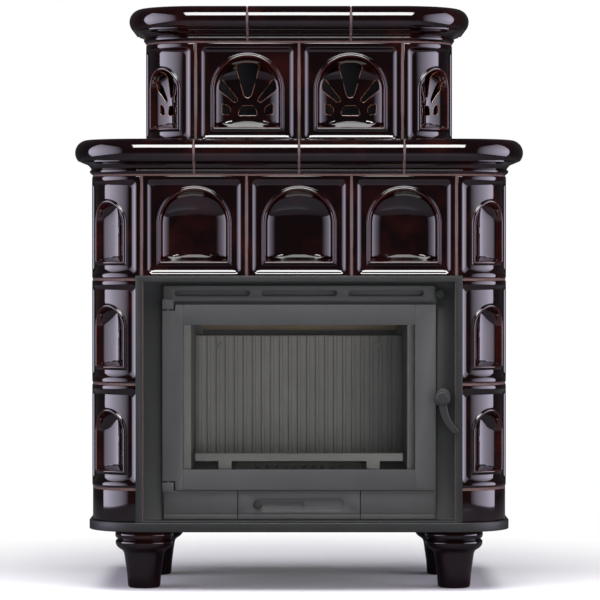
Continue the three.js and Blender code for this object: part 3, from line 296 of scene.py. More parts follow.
CORNER = 0.110
QUARTER = CORNER * pi / 2
JOINT = 0.003
PITCH = 0.220
BODY = {"flat": 0.330, "face": -0.282, "side": 0.440}
CROWN = {"flat": 0.220, "face": -0.172, "side": 0.220}


def walled(piece, wall):
    """Carries a piece from the flat along the wall: x is the way round, -y is outwards."""
    for vertex in piece.data.vertices:
        way, y, z = vertex.co
        side = 1 if way > 0 else -1
        run = abs(way) - wall["flat"]
        turn = min(max(run / CORNER, 0), pi / 2)
        beyond = max(run - QUARTER, 0)
        reach = CORNER - y
        across = wall["flat"] + min(run, 0) + reach * sin(turn)
        vertex.co = (side * across, wall["face"] + CORNER - reach * cos(turn) + beyond, z)
    piece.data.update()
    return piece


def ways(start, end, wall):
    """Stops along the wall from start to end, close together on the round corners."""
    bends = [side * (wall["flat"] + QUARTER * step / 24) for side in (-1, 1) for step in range(25)]
    return [start, *sorted(way for way in bends if start < way < end), end]


def outlined(name, corners):
    """One flat face through its corners."""
    only()
    bpy.ops.mesh.primitive_circle_add(vertices=len(corners), radius=0.01, fill_type="NGON")
    piece = begun(name)
    for vertex, corner in zip(piece.data.vertices, corners):
        vertex.co = corner
    return piece


def moulding(name, section, stops):
    """A bar with a section of (outwards, height), drawn along the wall through the stops."""
    piece = outlined(name, [(stops[0], -out, up) for out, up in section])
    bpy.ops.object.mode_set(mode="EDIT")
    for near, far in zip(stops, stops[1:]):
        bpy.ops.mesh.extrude_region_move(TRANSFORM_OT_translate={"value": (far - near, 0, 0)})
    return closed(piece)


def joined(pieces, name):
    """Several pieces as one."""
    only(*pieces)
    bpy.ops.object.join()
    pieces[0].name = name
    pieces[0].data.name = name
    return pieces[0]


# ---------------------------------------------------------------- plinth
# A plain glazed strip stands on the base plate under the tiles and bends round the front
# corners. It is one moulding with softly rounded edges.

PLATE_TOP = 0.1463
FIRST_ROW = 0.216


def strip_section(depth, face=-0.002, edge=0.003):
    """The strip's section: its back lies this deep, and its two front edges are round."""
    low, high = PLATE_TOP, FIRST_ROW - JOINT / 2
    turns = [i * pi / 12 for i in range(7)]
    return [
        (-depth, low),
        *[(face - edge + edge * sin(t), low + edge - edge * cos(t)) for t in turns],
        *[(face - edge + edge * cos(t), high - edge + edge * sin(t)) for t in turns],
        (-depth, high)]


plinth_section = strip_section(0.045)
for name, side in (("left", -1), ("right", 1)):
    start, end = BODY["flat"], BODY["flat"] + QUARTER - JOINT / 2
    stops = ways(start, end, BODY) if side > 0 else ways(-end, -start, BODY)
    piece = walled(moulding("plinth_" + name + "_glazed", plinth_section, stops), BODY)
    fitted(piece, ["plinth_corner_" + name], coat=glaze)


# ---------------------------------------------------------------- tiles
# A pressed tile has a flat border that falls in a soft step to a sunk field, and in the field
# a beaded arch round a deep niche. One is modelled flat, by insetting one face again and again.

TILE = PITCH - JOINT
FIELD = -6.0
frame_section = [
    (0, -12), (0, -3.5), (0.4, -2.0), (1.2, -0.9), (2.4, -0.25), (4, 0), (8.2, -0.05), (9.4, -0.25),
    (10.5, -0.6), (11.5, -1.05), (12.4, -1.6), (13.2, -2.25), (14.0, -2.95), (14.9, -3.6),
    (16.0, -4.25), (17.2, -4.85), (18.4, -5.35), (19.6, -5.75), (20.6, FIELD), (21.1, FIELD)]
bead_section = [
    (0, FIELD), (0.4, FIELD), (1.2, -5.8), (1.9, -5.2), (2.6, -4.2), (3.6, -3.1), (4.9, -2.3),
    (6.3, -2.0), (7.6, -2.4), (8.6, -3.4), (9.4, -4.9), (10, -6.8)]
FLAT_BORDER = 0.0081
BEAD = 0.010
SPRINGING = 0.0075
SILL = -0.081
FLOOR_RUN = 3.2
FILLET = 0.005
STEEPNESS = 12
flat_arch = {"width": 0.159, "cuts": 12, "deepest": 0.038, "bow": 0.38, "dome": 2.3}
bent_arch = {"width": 0.106, "cuts": 7, "deepest": 0.027, "bow": 0.60, "dome": 5}
ARCH_POINTS = 96
MITRE_ROUND = 0.007
SHELL = 0.007
CREST = 0.0082
CREST_WIDTH = 0.003
RIM_WIDTH = 0.0025
RING_CENTRE = (0, 0, SPRINGING - 0.012)
rings = [0.997, 0.99, 0.98, 0.965, 0.945, 0.92, 0.89, 0.85, 0.80, 0.74, 0.67, 0.59, 0.50, 0.40,
         0.29, 0.18, 0.08]


def hollow(x, z, arch):
    """Depth of the niche: a bowed back with steep sides under a dome, on a sloping floor."""
    radius = arch["width"] / 2 - BEAD
    rise = min(max(z - SPRINGING, 0) / radius, 1)
    half = radius * max(1 - rise ** 2, 1e-9) ** 0.5
    out = min(abs(x) / half, 1)
    across = (1 - arch["bow"] * out ** 2) * max(1 - out ** STEEPNESS, 0) ** (1 / STEEPNESS)
    wall = arch["deepest"] * max(1 - rise ** arch["dome"], 0) ** (1 / arch["dome"]) * across
    floor = max(z - SILL - BEAD, 0) * FLOOR_RUN
    soft = min(FILLET, max(wall, floor))
    if soft < 1e-6:
        return 0
    share = min(max(0.5 + 0.5 * (floor - wall) / soft, 0), 1)
    return max(floor * (1 - share) + wall * share - soft * share * (1 - share), 0)


def stepped(section):
    """Insets the selected face along a section of (inwards, up) in millimetres."""
    for (inner, low), (outer, high) in zip(section, section[1:]):
        bpy.ops.mesh.inset(thickness=(outer - inner) / 1000, depth=(high - low) / 1000)


def applied(piece, kind, **settings):
    """Adds a modifier to a piece and applies it."""
    only(piece)
    modifier = piece.modifiers.new(kind.lower(), kind)
    for setting, value in settings.items():
        setattr(modifier, setting, value)
    bpy.ops.object.modifier_apply(modifier=modifier.name)
    return piece


def slanting(line):
    """Whether an edge is a mitre of the sunk frame, where two of its sides meet."""
    width, _, height = (abs(a - b) for a, b in zip(line.verts[0].co, line.verts[1].co))
    inside = all(TILE / 2 - abs(v.co.z) > FLAT_BORDER for v in line.verts)
    return abs(width - height) < 1e-5 and width > 1e-4 and inside


def niche_tile(name, width, arch):
    """A tile shell about the origin, facing the front."""
    only()
    bpy.ops.mesh.primitive_plane_add(
        size=1, location=(0, -frame_section[0][1] / 1000, 0), rotation=(pi / 2, 0, 0))
    bpy.context.object.scale = (width, TILE, 1)
    piece = begun(name)
    bpy.ops.object.mode_set(mode="EDIT")
    stepped(frame_section)
    chosen(piece, "EDGE", slanting)
    bpy.ops.mesh.bevel(offset=MITRE_ROUND, segments=6, affect="EDGES")
    chosen(piece, "FACE", lambda side: side.calc_center_median().xz.length < 1e-3)
    bpy.ops.mesh.delete(type="ONLY_FACE")

    # The arch: a circle without its lower half, its ends drawn down to the sill and joined.
    radius = arch["width"] / 2
    level = -FIELD / 1000
    middle = Vector((0, level, SPRINGING))
    bpy.ops.mesh.primitive_circle_add(
        vertices=ARCH_POINTS, radius=radius, fill_type="NOTHING", location=middle,
        rotation=(pi / 2, 0, 0))
    on_arch = lambda v: abs((v.co - middle).length - radius) < 1e-5
    chosen(piece, "VERT", lambda v: on_arch(v) and v.co.z < SPRINGING - 1e-5)
    bpy.ops.mesh.delete(type="VERT")
    chosen(piece, "VERT", lambda v: on_arch(v) and v.co.z < SPRINGING + 1e-5)
    lengths = 7
    for _ in range(lengths):
        bpy.ops.mesh.extrude_region_move(
            TRANSFORM_OT_translate={"value": (0, 0, (SILL - SPRINGING) / lengths)})
    bpy.ops.mesh.edge_face_add()
    bpy.ops.mesh.subdivide(number_cuts=arch["cuts"])

    # The field round the arch and the arch itself are filled, and the bead rises on the arch.
    rim = lambda line: (len(line.link_faces) < 2
                        and all(abs(v.co.y - level) < 1e-5 for v in line.verts))
    chosen(piece, "EDGE", rim)
    bpy.ops.mesh.fill(use_beauty=True)
    chosen(piece, "EDGE", rim)
    bpy.ops.mesh.edge_face_add()
    chosen(piece, "FACE", lambda side: side.normal.y > 0.5)
    bpy.ops.mesh.flip_normals()
    chosen(piece, "FACE", lambda side: len(side.verts) > 40)
    stepped(bead_section)

    # Inside the bead, rings close in on the middle, to be pressed in as the niche.
    mesh = bmesh.from_edit_mesh(piece.data)
    niche = next(side for side in mesh.faces if side.select)
    straight = {line.index for line in niche.edges if line.calc_length() > 0.008}
    chosen(piece, "EDGE", lambda line: line.index in straight)
    bpy.ops.mesh.subdivide(number_cuts=3)
    chosen(piece, "FACE", lambda side: len(side.verts) > 60)
    last = 1
    for ring in rings:
        bpy.ops.mesh.extrude_region_move(TRANSFORM_OT_translate={"value": (0, 0, 0)})
        bpy.ops.transform.resize(
            value=(ring / last, 1, ring / last), center_override=RING_CENTRE)
        last = ring
    bpy.ops.object.mode_set(mode="OBJECT")

    # The glaze runs thin over the bead's inner crest and over the tile's rim.
    thinness = piece.data.attributes.new("thin", "FLOAT", "POINT")
    for vertex, thin in zip(piece.data.vertices, thinness.data):
        x, y, z = vertex.co
        out = abs(x) if z < SPRINGING else Vector((x, z - SPRINGING)).length
        inner = min(radius - out, z - SILL)
        edge = min(width / 2 - abs(x), TILE / 2 - abs(z))
        thin.value = max(1 - abs(inner - CREST) / CREST_WIDTH, 1 - edge / RIM_WIDTH, 0)
        if inner > BEAD - 1e-5:
            vertex.co.y += hollow(x, z, arch)
    applied(piece, "SOLIDIFY", thickness=SHELL, offset=-1)
    bpy.ops.object.shade_smooth_by_angle(angle=radians(40))
    piece.data.materials.append(glaze)
    return piece


def strips(piece, width, count=24):
    """Cuts a flat tile into upright strips, so that it can bend."""
    only(piece)
    bpy.ops.object.mode_set(mode="EDIT")
    for step in range(1, count):
        bpy.ops.mesh.select_all(action="SELECT")
        bpy.ops.mesh.bisect(plane_co=(width * (step / count - 0.5), 0, 0), plane_no=(1, 0, 0))
    bpy.ops.object.mode_set(mode="OBJECT")


def hung(tile, name, way, height, wall):
    """A copy of a tile on the wall."""
    piece = copied(tile, name)
    piece.data.transform(Matrix.Translation((way, 0, height)))
    return walled(piece, wall)


BENT = QUARTER - JOINT
flat_tile = niche_tile("flat_tile", TILE, flat_arch)
bent_tile = niche_tile("bent_tile", BENT, bent_arch)
strips(bent_tile, BENT)
rows = [FIRST_ROW + PITCH * (row + 0.5) for row in range(3)]
for name, side in (("left", -1), ("right", 1)):
    for row, height in enumerate(rows, 1):
        node = f"corner_tile_{name}_{row}"
        way = side * (BODY["flat"] + QUARTER / 2)
        piece = hung(bent_tile, node + "_glazed", way, height, BODY)
        fitted(piece, [node])
for column in range(3):
    node = f"front_tile_{column + 1}"
    piece = hung(flat_tile, node + "_glazed", PITCH * (column - 1), rows[2], BODY)
    fitted(piece, [node])


# ---------------------------------------------------------------- mortar
# Brown-grey mortar fills the joints nearly to the tiles' rounded edges. Each joint is a bar
# with a slightly hollow face, uneven and gritty.

mortar, place = finish("mortar")
grit = place.noise(350, 4, 0.7)
shaded(place, {
    "Base Color": (place.noise(40, 4) * 0.6 + grit * 0.4).between(
        (0.040, 0.020, 0.018), (0.115, 0.068, 0.062)),
    "Roughness": 0.82 + grit * 0.15,
    "Normal": grit.raised(0.5),
})
JOINT_HALF = 0.0032
JOINT_FACE = -0.0012
JOINT_BACK = -0.012
JOINT_HOLLOW = 0.0005


def level_joint(start, end, height, wall):
    """A level mortar joint along the wall."""
    section = [(JOINT_BACK, height - JOINT_HALF), (JOINT_FACE, height - JOINT_HALF),
               (JOINT_FACE - JOINT_HOLLOW, height), (JOINT_FACE, height + JOINT_HALF),
               (JOINT_BACK, height + JOINT_HALF)]
    return walled(moulding("joint", section, ways(start, end, wall)), wall)


def upright_joint(way, low, high, wall):
    """An upright mortar joint on the wall."""
    middle, thick = 0.0065, 0.0106
    piece = block(
        "joint", (way, middle, (low + high) / 2), (2 * JOINT_HALF, thick, high - low))
    bpy.ops.object.mode_set(mode="EDIT")
    chosen(piece, "EDGE", lambda line: all(v.co.y < middle for v in line.verts)
           and line.verts[0].co.x == line.verts[1].co.x)
    bpy.ops.mesh.bevel(offset=0.0008, segments=2, affect="EDGES")
    return walled(closed(piece), wall)


LOWER_TOP = FIRST_ROW + 3 * PITCH
SHELF = 0.941
CROWN_TOP = SHELF + PITCH
wall_end = BODY["flat"] + QUARTER + BODY["side"] - JOINT
bars = [level_joint(-wall_end, wall_end, LOWER_TOP, BODY)]
for side in (-1, 1):
    near, far = sorted((side * BODY["flat"], side * (BODY["flat"] + QUARTER)))
    bars += [level_joint(near, far, FIRST_ROW + PITCH * row, BODY) for row in range(3)]
    bars += [upright_joint(side * BODY["flat"], PLATE_TOP, LOWER_TOP, BODY),
             upright_joint(side * (BODY["flat"] + QUARTER), PLATE_TOP, LOWER_TOP, BODY),
             upright_joint(side * PITCH / 2, FIRST_ROW + 2 * PITCH, LOWER_TOP, BODY)]
fitted(joined(bars, "body_joints"), ["body_mortar"], coat=mortar)

crown_end = CROWN["flat"] + QUARTER + CROWN["side"] - JOINT
bars = [level_joint(-crown_end, crown_end, CROWN_TOP, CROWN)]
for way in (0, -CROWN["flat"], CROWN["flat"], -CROWN["flat"] - QUARTER, CROWN["flat"] + QUARTER):
    bars.append(upright_joint(way, SHELF, CROWN_TOP, CROWN))
fitted(joined(bars, "crown_joints"), ["crown_mortar"], coat=mortar)


# ---------------------------------------------------------------- side walls
# Each side has two columns of flat niche tiles over a straight length of the plinth, set
# in the same mortar. The tiles and the bars are carried round the corner to the side.

for name, side in (("left", -1), ("right", 1)):
    start = BODY["flat"] + QUARTER
    end = start + BODY["side"]
    columns = [side * (start + PITCH * (column + 0.5)) for column in range(2)]
    pieces = [hung(flat_tile, "side_tile", way, height, BODY) for way in columns for height in rows]
    near, far = sorted((side * (start + JOINT / 2), side * (end - JOINT / 2)))
    foot_strip = moulding("side_plinth", strip_section(0.012), [near, far])
    foot_strip.data.materials.append(glaze)
    pieces.append(walled(foot_strip, BODY))
    bars = [level_joint(near, far, FIRST_ROW + PITCH * row, BODY) for row in range(3)]
    bars.append(upright_joint(side * (start + PITCH), FIRST_ROW, LOWER_TOP, BODY))
    for bar in bars:
        bar.data.materials.append(mortar)
    wall = joined(pieces + bars, f"side_wall_{name}_tiled")
    fitted(wall, [f"side_wall_{name}"])


# ---------------------------------------------------------------- crown tiles
# The crown's niches are pierced with a sunburst so that warm air gets out: three rays, two
# side lights and a foot light. The glaze draws back to a warm brown line at each cut edge.

rays = [
    [(-25, 60), (-19, 65), (-8, 67), (8, 67), (19, 65), (25, 60), (9, 1), (6, -5), (0, -7.5),
     (-6, -5), (-9, 1)],
    [(-56, 31), (-51, 27), (-23, -9), (-22, -14), (-25, -17), (-30, -16), (-59, 7), (-61.5, 12),
     (-61, 20), (-59, 27)]]
rays.append([(-x, z) for x, z in reversed(rays[1])])
side_light = [
    (-53, -21), (-43, -24), (-37, -31), (-36.5, -40), (-40, -44), (-51, -43), (-54, -40),
    (-54.5, -25)]
foot_light = [
    (-17, -45), (17, -45), (19.5, -42), (18, -34), (14, -26.5), (9, -24.5), (-9, -24.5),
    (-14, -26.5), (-18, -34), (-19.5, -42)]
lights = [side_light, [(-x, z) for x, z in reversed(side_light)], foot_light]
CUT_START = 0.014
CUT_LENGTH = 0.05
CUT_EDGE = 0.0009


def pierced(tile, squeeze):
    """Cuts the sunburst through a tile; under the narrower arch it is squeezed sideways."""
    tile.data.materials.append(cut_glaze)
    for outline in rays + lights:
        cutter = outlined("light", [(x * squeeze / 1000, CUT_START, z / 1000) for x, z in outline])
        bpy.ops.object.mode_set(mode="EDIT")
        bpy.ops.mesh.extrude_region_move(TRANSFORM_OT_translate={"value": (0, CUT_LENGTH, 0)})
        closed(cutter, 30)
        cutter.data.materials.append(cut_glaze)
        applied(tile, "BOOLEAN", operation="DIFFERENCE", solver="EXACT", object=cutter,
                material_mode="TRANSFER")
        bpy.data.objects.remove(cutter)

    bpy.ops.object.mode_set(mode="EDIT")
    chosen(tile, "EDGE", lambda line: len({side.material_index for side in line.link_faces}) == 2
           and not any(side.material_index == 0 and side.normal.y > 0 for side in line.link_faces))
    for side in bmesh.from_edit_mesh(tile.data).faces:
        side.material_index = 0
    bpy.ops.mesh.bevel(offset=CUT_EDGE, segments=2, affect="EDGES", material=1)
    bpy.ops.object.mode_set(mode="OBJECT")
    bpy.ops.object.shade_smooth_by_angle(angle=radians(40))
    return tile


flat_pierced = pierced(copied(flat_tile, "flat_pierced"), squeeze=1)
bent_pierced = pierced(niche_tile("bent_pierced", BENT, bent_arch), squeeze=0.66)
strips(bent_pierced, BENT)
crown_row = SHELF + PITCH / 2
places = {
    "crown_tile_1": (flat_pierced, -PITCH / 2),
    "crown_tile_2": (flat_pierced, PITCH / 2),
    "crown_corner_left": (bent_pierced, -CROWN["flat"] - QUARTER / 2),
    "crown_corner_right": (bent_pierced, CROWN["flat"] + QUARTER / 2),
    "crown_side_left_1": (flat_pierced, -CROWN["flat"] - QUARTER - PITCH / 2),
    "crown_side_right_1": (flat_pierced, CROWN["flat"] + QUARTER + PITCH / 2)}
for node, (tile, way) in places.items():
    fitted(hung(tile, node + "_glazed", way, crown_row, CROWN), [node])
for tile in (flat_tile, bent_tile, flat_pierced, bent_pierced):
    bpy.data.objects.remove(tile)


# ---------------------------------------------------------------- cornices
# A heavy moulding closes the body and another the crown: a bead, a deep cove, a fillet and a
# fat roll with a flat shelf behind. Each length is drawn along the wall, with mortar between.

def round_part(out, up, radius, start, end, steps):
    """Points of (outwards, height) on part of a circle."""
    return [(out + radius * cos(start + (end - start) * i / steps),
             up + radius * sin(start + (end - start) * i / steps)) for i in range(steps + 1)]


cornice_section = [
    (-0.040, 0.0015), (0, 0.0015),
    *round_part(0, 0.0078, 0.0048, -1.2, 1.35, 9),
    *curved([(0.0022, 0.0142), (0.0050, 0.0182), (0.0105, 0.0228), (0.0180, 0.0262),
             (0.0228, 0.0274)], 4),
    (0.0232, 0.0296),
    *round_part(0.009, 0.048, 0.027, -0.72, 1.95, 26),
    *curved([(-0.0040, 0.0708), (-0.0075, 0.0672), (-0.0120, 0.0652), (-0.018, 0.065)], 3),
    (-0.100, 0.065), (-0.100, 0.050), (-0.040, 0.050)]
LEG = 0.110
SLICE = 0.0028
DRAWN_IN = 0.985


def cornice(prefix, wall, base, fronts):
    """The lengths of one cornice, and the mortar between them."""
    corner_start = wall["flat"] - LEG
    corner_end = wall["flat"] + QUARTER + LEG
    side_end = wall["flat"] + QUARTER + wall["side"]
    lengths = {}
    for index in range(fronts):
        start = -corner_start + 2 * corner_start * index / fronts
        lengths[f"{prefix}_front_{index + 1}"] = (start, start + 2 * corner_start / fronts)
    for name, side in (("left", -1), ("right", 1)):
        lengths[f"{prefix}_corner_{name}"] = sorted((side * corner_start, side * corner_end))
        lengths[f"{prefix}_side_{name}"] = sorted((side * corner_end, side * side_end))
    section = [(out, up + base) for out, up in cornice_section]
    for node, (start, end) in lengths.items():
        stops = ways(start + JOINT / 2, end - JOINT / 2, wall)
        piece = moulding(node + "_glazed", section, stops)
        bpy.ops.object.mode_set(mode="EDIT")
        chosen(piece, "EDGE", lambda line: line.verts[0].co.x == line.verts[1].co.x
               and min(abs(line.verts[0].co.x - stop) for stop in (stops[0], stops[-1])) < 1e-6
               and max(v.co.y for v in line.verts) < 0.02)
        bpy.ops.mesh.bevel(offset=0.0014, segments=3, affect="EDGES")
        bpy.ops.object.mode_set(mode="OBJECT")
        bpy.ops.object.shade_smooth_by_angle(angle=radians(35))
        fitted(walled(piece, wall), [node], coat=glaze)
    filling = [(out * DRAWN_IN - 0.0003, base + 0.0010 + (up - 0.0010) * DRAWN_IN)
               for out, up in cornice_section]
    cuts = sorted({start for start, end in lengths.values()} - {-side_end})
    slices = [walled(moulding("joint", filling, [way - SLICE, way + SLICE]), wall) for way in cuts]
    piece = joined(slices, prefix + "_joints")
    piece.data.materials.append(mortar)
    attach(piece, "stove")


cornice("cornice", BODY, LOWER_TOP, 2)
cornice("crown_cornice", CROWN, CROWN_TOP, 1)


# ---------------------------------------------------------------- steel covers and flue
# Dark painted sheet closes the shelf, the crown and the back; a pipe of rolled sheet leaves
# the firebox roof and bends out through the back.

sheet_paint, place = finish("sheet_paint")
shaded(place, {
    "Base Color": place.noise(12, 4).between((0.034, 0.035, 0.037), (0.056, 0.057, 0.060)),
    "Roughness": 0.5 + place.noise(30) * 0.15,
    "Metallic": 0.3,
    "Normal": place.noise(500, 2).raised(0.05),
})


def softened(node, coat, width=0.0006, body="stove"):
    """A copy of a node's solid with its edges broken, standing for the node."""
    piece = bpy.data.objects.new(node + "_finished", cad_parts[node].data.copy())
    bpy.context.collection.objects.link(piece)
    only(piece)
    bpy.ops.object.mode_set(mode="EDIT")
    bpy.ops.mesh.select_all(action="SELECT")
    bpy.ops.mesh.remove_doubles(threshold=1e-5)
    bpy.ops.mesh.dissolve_limited(angle_limit=radians(1))
    bpy.ops.object.mode_set(mode="OBJECT")
    applied(piece, "BEVEL", width=width, segments=2, limit_method="ANGLE", angle_limit=radians(35),
            use_clamp_overlap=False)
    bpy.ops.object.shade_smooth_by_angle(angle=radians(35))
    fitted(piece, [node], body=body, coat=coat)
    return piece


for node in ("shelf_cover", "crown_cover", "back_cover", "crown_back_cover"):
    softened(node, sheet_paint)

PIPE_RADIUS = 0.074
PIPE_FOOT = 0.6406
PIPE_AXIS = 0.018
PIPE_RISE = 0.050
PIPE_BEND = 0.095
PIPE_END = 0.318
only()
bpy.ops.mesh.primitive_circle_add(
    vertices=64, radius=PIPE_RADIUS, location=(0, PIPE_AXIS, PIPE_FOOT))
pipe = begun("flue_pipe_rolled")
bpy.ops.object.mode_set(mode="EDIT")
bend_start = PIPE_FOOT + PIPE_RISE
bend_length = PIPE_BEND * pi / 2
for climb in (PIPE_RISE, *[bend_length / 20] * 20, PIPE_END - PIPE_AXIS - PIPE_BEND):
    bpy.ops.mesh.extrude_region_move(TRANSFORM_OT_translate={"value": (0, 0, climb)})
bpy.ops.object.mode_set(mode="OBJECT")
for vertex in pipe.data.vertices:
    x, y, z = vertex.co
    turn = min(max((z - bend_start) / PIPE_BEND, 0), pi / 2)
    beyond = max(z - bend_start - bend_length, 0)
    reach = PIPE_BEND + PIPE_AXIS - y
    vertex.co = (x, PIPE_AXIS + PIPE_BEND - reach * cos(turn) + beyond,
                 min(z, bend_start) + reach * sin(turn))
applied(pipe, "SOLIDIFY", thickness=0.002, offset=0)
bpy.ops.object.mode_set(mode="EDIT")
closed(pipe)
fitted(pipe, ["flue_pipe"], coat=sheet_paint)


# ---------------------------------------------------------------- surround and panels
# Black painted steel frames the opening in the tiles; inside it lie the slotted panel over
# the door and the folded panels under it, in a dark grey stove paint with a fine grain.

softened("surround", black_paint, 0.0008)

door_paint, place = finish("door_paint")
speck = place.noise(1400, 3, 0.6)
shaded(place, {
    "Base Color": (place.noise(18, 4) * 0.5 + speck * 0.5).between(
        (0.023, 0.024, 0.023), (0.046, 0.047, 0.046)),
    "Roughness": 0.50 + place.noise(60) * 0.14,
    "Metallic": 0.15,
    "Normal": speck.raised(0.07),
})
for node in ("slot_panel", "lower_panel_left", "lower_panel_right"):
    softened(node, door_paint, 0.0005)
softened("ash_drawer", door_paint, 0.0005, body="drawer")


# ---------------------------------------------------------------- firebox
# Behind the door stand the steel box, a ribbed cast plate held by two bolts, cast side linings,
# the hearth plate with its grate, the log guard and a speckled beige board as baffle.

cast_iron, place = finish("cast_iron")
skin = place.noise(260, 4, 0.65)
shaded(place, {
    "Base Color": (place.noise(9, 3) * 0.6 + skin * 0.4).between(
        (0.20, 0.20, 0.202), (0.33, 0.328, 0.33)),
    "Roughness": 0.62 + place.noise(35) * 0.2,
    "Metallic": 0.2,
    "Normal": skin.raised(0.25),
})
board, place = finish("insulation_board")
fleck = place.node("TexVoronoi", {}, {"Vector": place, "Scale": 420})
shaded(place, {
    "Base Color": (fleck * 0.9 + place.noise(150, 3) * 0.4).kept().between(
        (0.88, 0.74, 0.56), (0.55, 0.42, 0.29)),
    "Roughness": 0.9,
    "Normal": fleck.raised(0.4),
})
softened("firebox", sheet_paint, 0.0008)
softened("grate", cast_iron, 0.0008)
softened("log_guard", cast_iron, 0.0015)
softened("baffle", board, 0.0012)
softened("back_plate", cast_iron, 0.0006)
for name in ("left", "right"):
    softened("side_lining_" + name, cast_iron, 0.0012)


def faced_front(piece, x, y, z):
    """Turns a round piece to the front and puts its foot at a place."""
    piece.data.transform(Matrix.Translation((x, y, z)) @ Matrix.Rotation(pi / 2, 4, "X"))
    return piece


bolt = turned("bolt", [(0.0075, 0), (0.0075, 0.0035), (0.0068, 0.0048), (0.0048, 0.0055),
                       (0.0030, 0.0056), (0.0028, 0.0038), (0.0010, 0.0038)], 32)
BOLT_SIDE, BOLT_DEPTH, BOLT_HEIGHT = 0.173, 0.1150, 0.5066
for name, x in (("left", -BOLT_SIDE), ("right", BOLT_SIDE)):
    piece = faced_front(copied(bolt, f"back_plate_bolt_{name}"), x, BOLT_DEPTH, BOLT_HEIGHT)
    piece.data.materials.append(cast_iron)
    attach(piece, "stove")
bpy.data.objects.remove(bolt)


# ---------------------------------------------------------------- door
# A welded steel frame, stiles outside and rails between, holds a pane of clear fire glass.
# Fine seams show where rail meets stile; a rope seal lies behind.

SEAM = {"side": 0.2440, "face": -0.252, "width": 0.0009, "depth": 0.0014}
RAILS = [(0.2113, 0.2563), (0.5593, 0.6043)]
door = softened("door_frame", door_paint, 0.0008, body="door")
for side in (-1, 1):
    for low, high in RAILS:
        seam = block("seam", (side * SEAM["side"], SEAM["face"], (low + high) / 2),
                     (SEAM["width"], SEAM["depth"], high - low))
        applied(door, "BOOLEAN", operation="DIFFERENCE", solver="EXACT", object=seam)
        bpy.data.objects.remove(seam)
bpy.ops.object.shade_smooth_by_angle(angle=radians(35))

fire_glass, place = finish("fire_glass")
clear = place.node("BsdfTransparent", {}, {"Color": (0.92, 0.92, 0.91, 1)})
gloss = place.node("BsdfPrincipled", {}, {
    "Base Color": (0.02, 0.02, 0.02, 1), "Roughness": 0.03, "IOR": 1.5})
mirror = place.node("Fresnel", {}, {"IOR": 1.5})
haze = place.noise(6, 2) * 0.03 + 0.03
place.node("OutputMaterial", {}, {"Surface": place.node(
    "MixShader", {}, {0: (mirror + haze).kept(), 1: clear, 2: gloss})})
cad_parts["door_glass"].data.materials[0] = fire_glass

rope, place = finish("seal_rope")
braid = place.node("TexWave", {"wave_type": "BANDS", "bands_direction": "DIAGONAL"}, {
    "Vector": place, "Scale": 120, "Distortion": 2}, out=1)
shaded(place, {
    "Base Color": braid.between((0.16, 0.15, 0.14), (0.34, 0.33, 0.31)),
    "Roughness": 0.95,
    "Normal": braid.raised(0.6),
})
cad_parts["door_seal"].data.materials[0] = rope


# ---------------------------------------------------------------- handle
# The handle is a cast lever that hangs from a round head with a raised cap, on a hub that
# turns in the door's lug. The lever's outline is drawn flat, thickened and rounded.

HANDLE = Vector((0.300, 0.4063))
LEVER_FRONT = -0.2980
LEVER_THICKNESS = 0.008
lever_line = curved(
    [(0, 0), (0.0018, -0.020), (0.0075, -0.040), (0.0170, -0.056), (0.0265, -0.067)], 6)
edges = ([], [])
for index, (x, z) in enumerate(lever_line):
    width = 0.0175 - 0.0040 * index / (len(lever_line) - 1)
    ahead = Vector(lever_line[min(index + 1, len(lever_line) - 1)])
    behind = Vector(lever_line[max(index - 1, 0)])
    along = (ahead - behind).normalized()
    for edge, side in zip(edges, (-1, 1)):
        edge.append(Vector((x - along.y * side * width / 2, z + along.x * side * width / 2)))
tip = Vector(lever_line[-1])
reach = edges[0][-1] - tip
tip_round = [tip + Matrix.Rotation(pi * i / 12, 2) @ reach for i in range(1, 12)]
outline = edges[0] + tip_round + edges[1][::-1]
lever = outlined(
    "lever", [(HANDLE.x + point.x, LEVER_FRONT, HANDLE.y + point.y) for point in outline])
bpy.ops.object.mode_set(mode="EDIT")
bpy.ops.mesh.extrude_region_move(TRANSFORM_OT_translate={"value": (0, LEVER_THICKNESS, 0)})
closed(lever)
applied(lever, "BEVEL", width=0.0022, segments=4, limit_method="ANGLE", angle_limit=radians(50))
bpy.ops.object.shade_smooth_by_angle(angle=radians(35))

HUB_FOOT = -0.2462
hub = turned("hub", [
    (0.005, -0.013), (0.005, -0.0001), (0.0108, 0), (0.0108, 0.043), (0.0150, 0.0432),
    (0.0168, 0.0445), (0.0172, 0.047), (0.0170, 0.0495), (0.0160, 0.0515), (0.0135, 0.0522),
    (0.0127, 0.0524), (0.0125, 0.0545), (0.0115, 0.0556), (0.0080, 0.0560), (0.0010, 0.0560)], 64)
faced_front(hub, HANDLE.x, HUB_FOOT, HANDLE.y)
handle = joined([lever, hub], "door_handle_cast")
fitted(handle, ["door_handle"], body="handle", coat=black_paint)


# ---------------------------------------------------------------- knobs
# Two turned knobs: the air slider's, in the drawer's recess, and the damper's, on its
# pull rod at the upper right.

def knob(name, node, body, turns):
    """A turned knob in its node's place, its cap level with the node's front."""
    low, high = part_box(node)
    length = turns[-1][1]
    piece = turned(name, turns, 48)
    faced_front(piece, (low[0] + high[0]) / 2, low[1] + length, (low[2] + high[2]) / 2)
    fitted(piece, [node], body=body, coat=black_paint)


